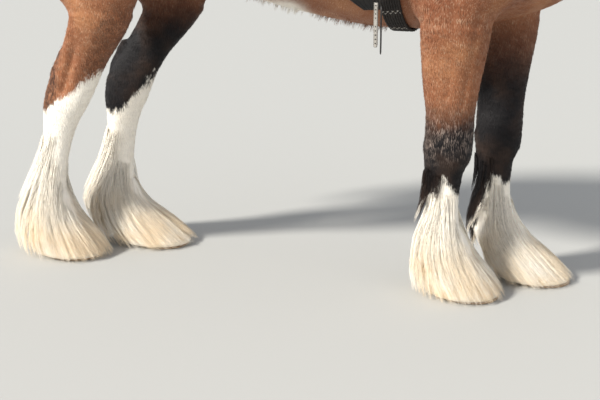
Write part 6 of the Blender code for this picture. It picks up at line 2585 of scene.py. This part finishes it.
    def strap_end_piece(self, pale: bpy.types.Material, dark: bpy.types.Material) -> None:
        """Pale doubled strap, its punched holes painted as dark discs of shade, and the thin black lace beside it."""
        for name, x, top, bottom, width, thickness, material, slot, node in (
            ("pale_strap", 0.415, 0.975, 0.836, 0.013, 0.006, pale, "grey_strap", "hanging_strap"),
            ("black_lace", 0.432, 0.965, 0.815, 0.005, 0.004, dark, "black_strap", "hanging_lace"),
        ):
            rings = []
            for z in np.concatenate([np.linspace(top, bottom + 0.012, 12), bottom + 0.012 * np.cos(np.linspace(0.2, 1.45, 6))]):
                narrow = math.sqrt(max(0.05, 1 - max(0.0, (bottom + 0.012 - z) / 0.0125) ** 2))
                centre = Vector((x, -0.30 + 0.0006 * math.sin(z * 60), z))
                half = width / 2 * narrow
                ring = superellipse(
                    centre, Vector((1, 0, 0)), Vector((0, 1, 0)), (half, half), (thickness / 2,) * 2, 5.0, 20
                )
                rings.append(ring)
            finish_piece(loft(name, rings), material, [node])
        bm = bmesh.new()
        # Dark discs: painted shade inside the punched holes
        for z in np.arange(0.850, 0.970, 0.013):
            matrix = Matrix.Translation((0.415, -0.3032, z)) @ Matrix.Rotation(math.pi / 2, 4, "X")
            bmesh.ops.create_cone(
                bm, cap_ends=True, segments=16, radius1=0.0021, radius2=0.0021, depth=0.0006, matrix=matrix
            )
        # Dark stitches along both edges of the strap
        for side in (-1, 1):
            for z in np.arange(0.842, 0.972, 0.0052):
                matrix = Matrix.Translation((0.415 + side * 0.0048, -0.3031, z)) @ Matrix.Diagonal(
                    (0.0009, 0.0009, 0.0030, 1.0)
                )
                bmesh.ops.create_cube(bm, size=1.0, matrix=matrix)
        finish_piece(new_object("strap_holes", bm), dark, smooth=False)


class Weave(Enum):
    """Ways a woven or leather surface is made."""

    CANVAS = (900.0, 0.5)
    WEBBING = (520.0, 0.9)
    LEATHER = (160.0, 0.6)
    CORD = (1500.0, 0.7)


@dataclass(frozen=True)
class TackFinish:
    """Finish of one kind of tack."""

    name: str
    base: Colour
    light: Colour
    weave: Weave
    roughness: float
    metallic: float = 0.0

    def make(self) -> bpy.types.Material:
        """Makes the material, with a woven or grained relief and worn, dusty patches."""
        material, g, shader = CoatMaterials.start(self.name)
        place = g.add("ShaderNodeTexCoord").outputs["Object"]
        scale, depth = self.weave.value
        if self.weave is Weave.LEATHER:
            relief = g.add("ShaderNodeTexVoronoi", {"Vector": place, "Scale": scale}).outputs["Distance"]
        else:
            axes = g.add("ShaderNodeSeparateXYZ", {0: place})
            waves = [g.math("SINE", g.times(axis, scale)) for axis in axes.outputs]
            relief = g.plus(g.times(waves[0], waves[2]), g.times(waves[1], waves[2]))
        dust = g.times(g.ramp(g.noise(place, 14.0, 4.0), 0.46, 0.74), 0.55)
        fine = g.times(g.ramp(g.noise(place, 420.0, 2.0), 0.40, 0.75), 0.35)
        colour = g.blend(fine, g.blend(dust, self.base, self.light), self.light)
        bump = g.add("ShaderNodeBump", {"Height": relief, "Strength": depth * 0.5, "Distance": 0.0008})
        g.feed(shader.inputs["Base Color"], colour)
        g.feed(shader.inputs["Normal"], bump)
        rough = g.add("ShaderNodeMapRange", {"Value": dust, "To Min": self.roughness, "To Max": self.roughness + 0.2})
        g.feed(shader.inputs["Roughness"], rough)
        shader.inputs["Metallic"].default_value = self.metallic
        shader.inputs["Specular IOR Level"].default_value = 0.5 if self.metallic else 0.3
        return material


class Studio:
    """Camera, floor and light."""

    camera_place = Vector((1.41, -3.91, 1.28))
    azimuth = math.radians(19.0)
    pitch = math.radians(14.0)
    lens = 72.0
    sensor = 36.0

    def build(self) -> None:
        """Sets the camera at the photograph's angle, the floor and soft studio light."""
        scene = bpy.context.scene
        forward = Vector(
            (
                -math.sin(self.azimuth) * math.cos(self.pitch),
                math.cos(self.azimuth) * math.cos(self.pitch),
                -math.sin(self.pitch),
            )
        )
        camera = bpy.data.objects.new("camera", bpy.data.cameras.new("camera"))
        camera.data.lens = self.lens
        camera.data.sensor_width = self.sensor
        camera.location = self.camera_place + Vector((SHIFT, 0, 0))
        camera.rotation_euler = forward.to_track_quat("-Z", "Y").to_euler()
        scene.collection.objects.link(camera)
        scene.camera = camera
        scene.view_settings.view_transform = "Standard"
        self.key()
        self.light("fill", Vector((5.5, -4.0, 3.0)), 5.0, 75.0)
        self.world()
        self.floor()

    @staticmethod
    def key() -> None:
        """Adds the soft main light, from the horse's right and a little behind as in the photograph."""
        lamp = bpy.data.lights.new("key", "SUN")
        lamp.energy = 5.7
        lamp.angle = math.radians(9.0)
        lamp.color = (1.0, 0.965, 0.90)
        obj = bpy.data.objects.new("key", lamp)
        obj.rotation_euler = Vector((0.56, 0.62, -0.62)).to_track_quat("-Z", "Y").to_euler()
        bpy.context.scene.collection.objects.link(obj)

    @staticmethod
    def light(name: str, place: Vector, size: float, power: float) -> None:
        """Adds a soft square light that faces the horse."""
        lamp = bpy.data.lights.new(name, "AREA")
        lamp.size = size
        lamp.energy = power
        lamp.color = (1.0, 0.975, 0.94)
        obj = bpy.data.objects.new(name, lamp)
        obj.location = place
        obj.rotation_euler = (Vector((0, 0, 0.9)) - place).to_track_quat("-Z", "Y").to_euler()
        bpy.context.scene.collection.objects.link(obj)

    @staticmethod
    def world() -> None:
        """Pale even light from all round."""
        world = bpy.data.worlds.new("studio")
        world.use_nodes = True
        background = world.node_tree.nodes["Background"]
        background.inputs["Color"].default_value = (0.90, 0.94, 1.0, 1.0)
        background.inputs["Strength"].default_value = 0.66
        bpy.context.scene.world = world

    @staticmethod
    def floor() -> None:
        """Plain pale floor."""
        bm = bmesh.new()
        bmesh.ops.create_grid(bm, x_segments=1, y_segments=1, size=30.0)
        floor = new_object("floor", bm)
        material = bpy.data.materials.new("floor")
        material.use_nodes = True
        shader = material.node_tree.nodes["Principled BSDF"]
        shader.inputs["Base Color"].default_value = (0.42, 0.42, 0.405, 1.0)
        shader.inputs["Roughness"].default_value = 0.9
        floor.data.materials.append(material)


FLESH_NODES = (
    ["head", "neck", "shoulders", "barrel", "quarters", "tail"]
    + [f"{side}_{part}" for side in ("right", "left") for part in ("ear", "forearm", "gaskin")]
    + [f"{side}_{limb}_cannon" for side in ("right", "left") for limb in ("fore", "hind")]
)


def main() -> None:
    """Builds the horse's looks."""
    logging.basicConfig(level=logging.INFO, format="%(message)s")
    Studio().build()
    rng = np.random.default_rng(SEED)
    materials = CoatMaterials(CoatColours(), HairShine())
    skin_material = materials.skin()
    flesh = Flesh()
    skin = flesh.build()
    hide = Hide(skin)
    dresser = HairDresser(rng, StrandTree().build())
    hair = materials.hair("feather_hair", lighten=1.12)
    horn = Hoof.material()
    for leg in LEGS:
        feather = Feather(leg)
        feather.build(dresser, hair)
        undercoat = feather.core()
        undercoat.name = f"{leg.name}_undercoat"
        finish_piece(undercoat, skin_material)
        Hoof(leg).build(horn)
    black = materials.hair("long_black_hair", (0.012, 0.009, 0.008, 1.0))
    Mane(hide).build(dresser, black)
    Tail().build(dresser, black)
    Fringe(hide).build(flesh, dresser, materials.hair("fringe_hair"), black)
    bare = [(np.array((0.40, -0.4, 0.8)), np.array((0.49, 0.4, 1.1)))]
    ShortCoat(hide, TuftTree().build(), rng, bare=tuple(bare)).build(materials.hair("short_coat", lighten=1.06, variation=0.16))
    wet = Eye.material()
    for side in Side:
        Eye(side).build(flesh, wet)
    build_tack(hide)
    finish_piece(skin, skin_material, FLESH_NODES)


def build_tack(hide: Hide) -> None:
    """Builds every piece of tack."""
    pad = TackFinish("pad_canvas", (0.010, 0.010, 0.011, 1.0), (0.032, 0.030, 0.028, 1.0), Weave.CANVAS, 0.6)
    webbing = TackFinish("black_webbing", (0.012, 0.011, 0.011, 1.0), (0.040, 0.037, 0.034, 1.0), Weave.WEBBING, 0.5)
    cord = TackFinish("black_cord", (0.016, 0.014, 0.013, 1.0), (0.075, 0.066, 0.058, 1.0), Weave.CORD, 0.75)
    pale = TackFinish("grey_leather", (0.34, 0.32, 0.29, 1.0), (0.20, 0.18, 0.15, 1.0), Weave.LEATHER, 0.6)
    thread = TackFinish("grey_thread", (0.30, 0.28, 0.25, 1.0), (0.42, 0.40, 0.36, 1.0), Weave.CORD, 0.7)
    steel = TackFinish("ring_steel", (0.62, 0.62, 0.63, 1.0), (0.38, 0.37, 0.36, 1.0), Weave.LEATHER, 0.25, 1.0)
    tack = Tack(hide)
    dark = webbing.make()
    tack.pad(pad.make())
    tack.strap(dark, thread.make())
    tack.girth(cord.make(), bpy.data.materials["grey_thread"])
    ring_finish = steel.make()
    for side in Side:
        tack.ring(side, ring_finish)
    tack.strap_end_piece(pale.make(), dark)


if __name__ == "__main__":
    main()
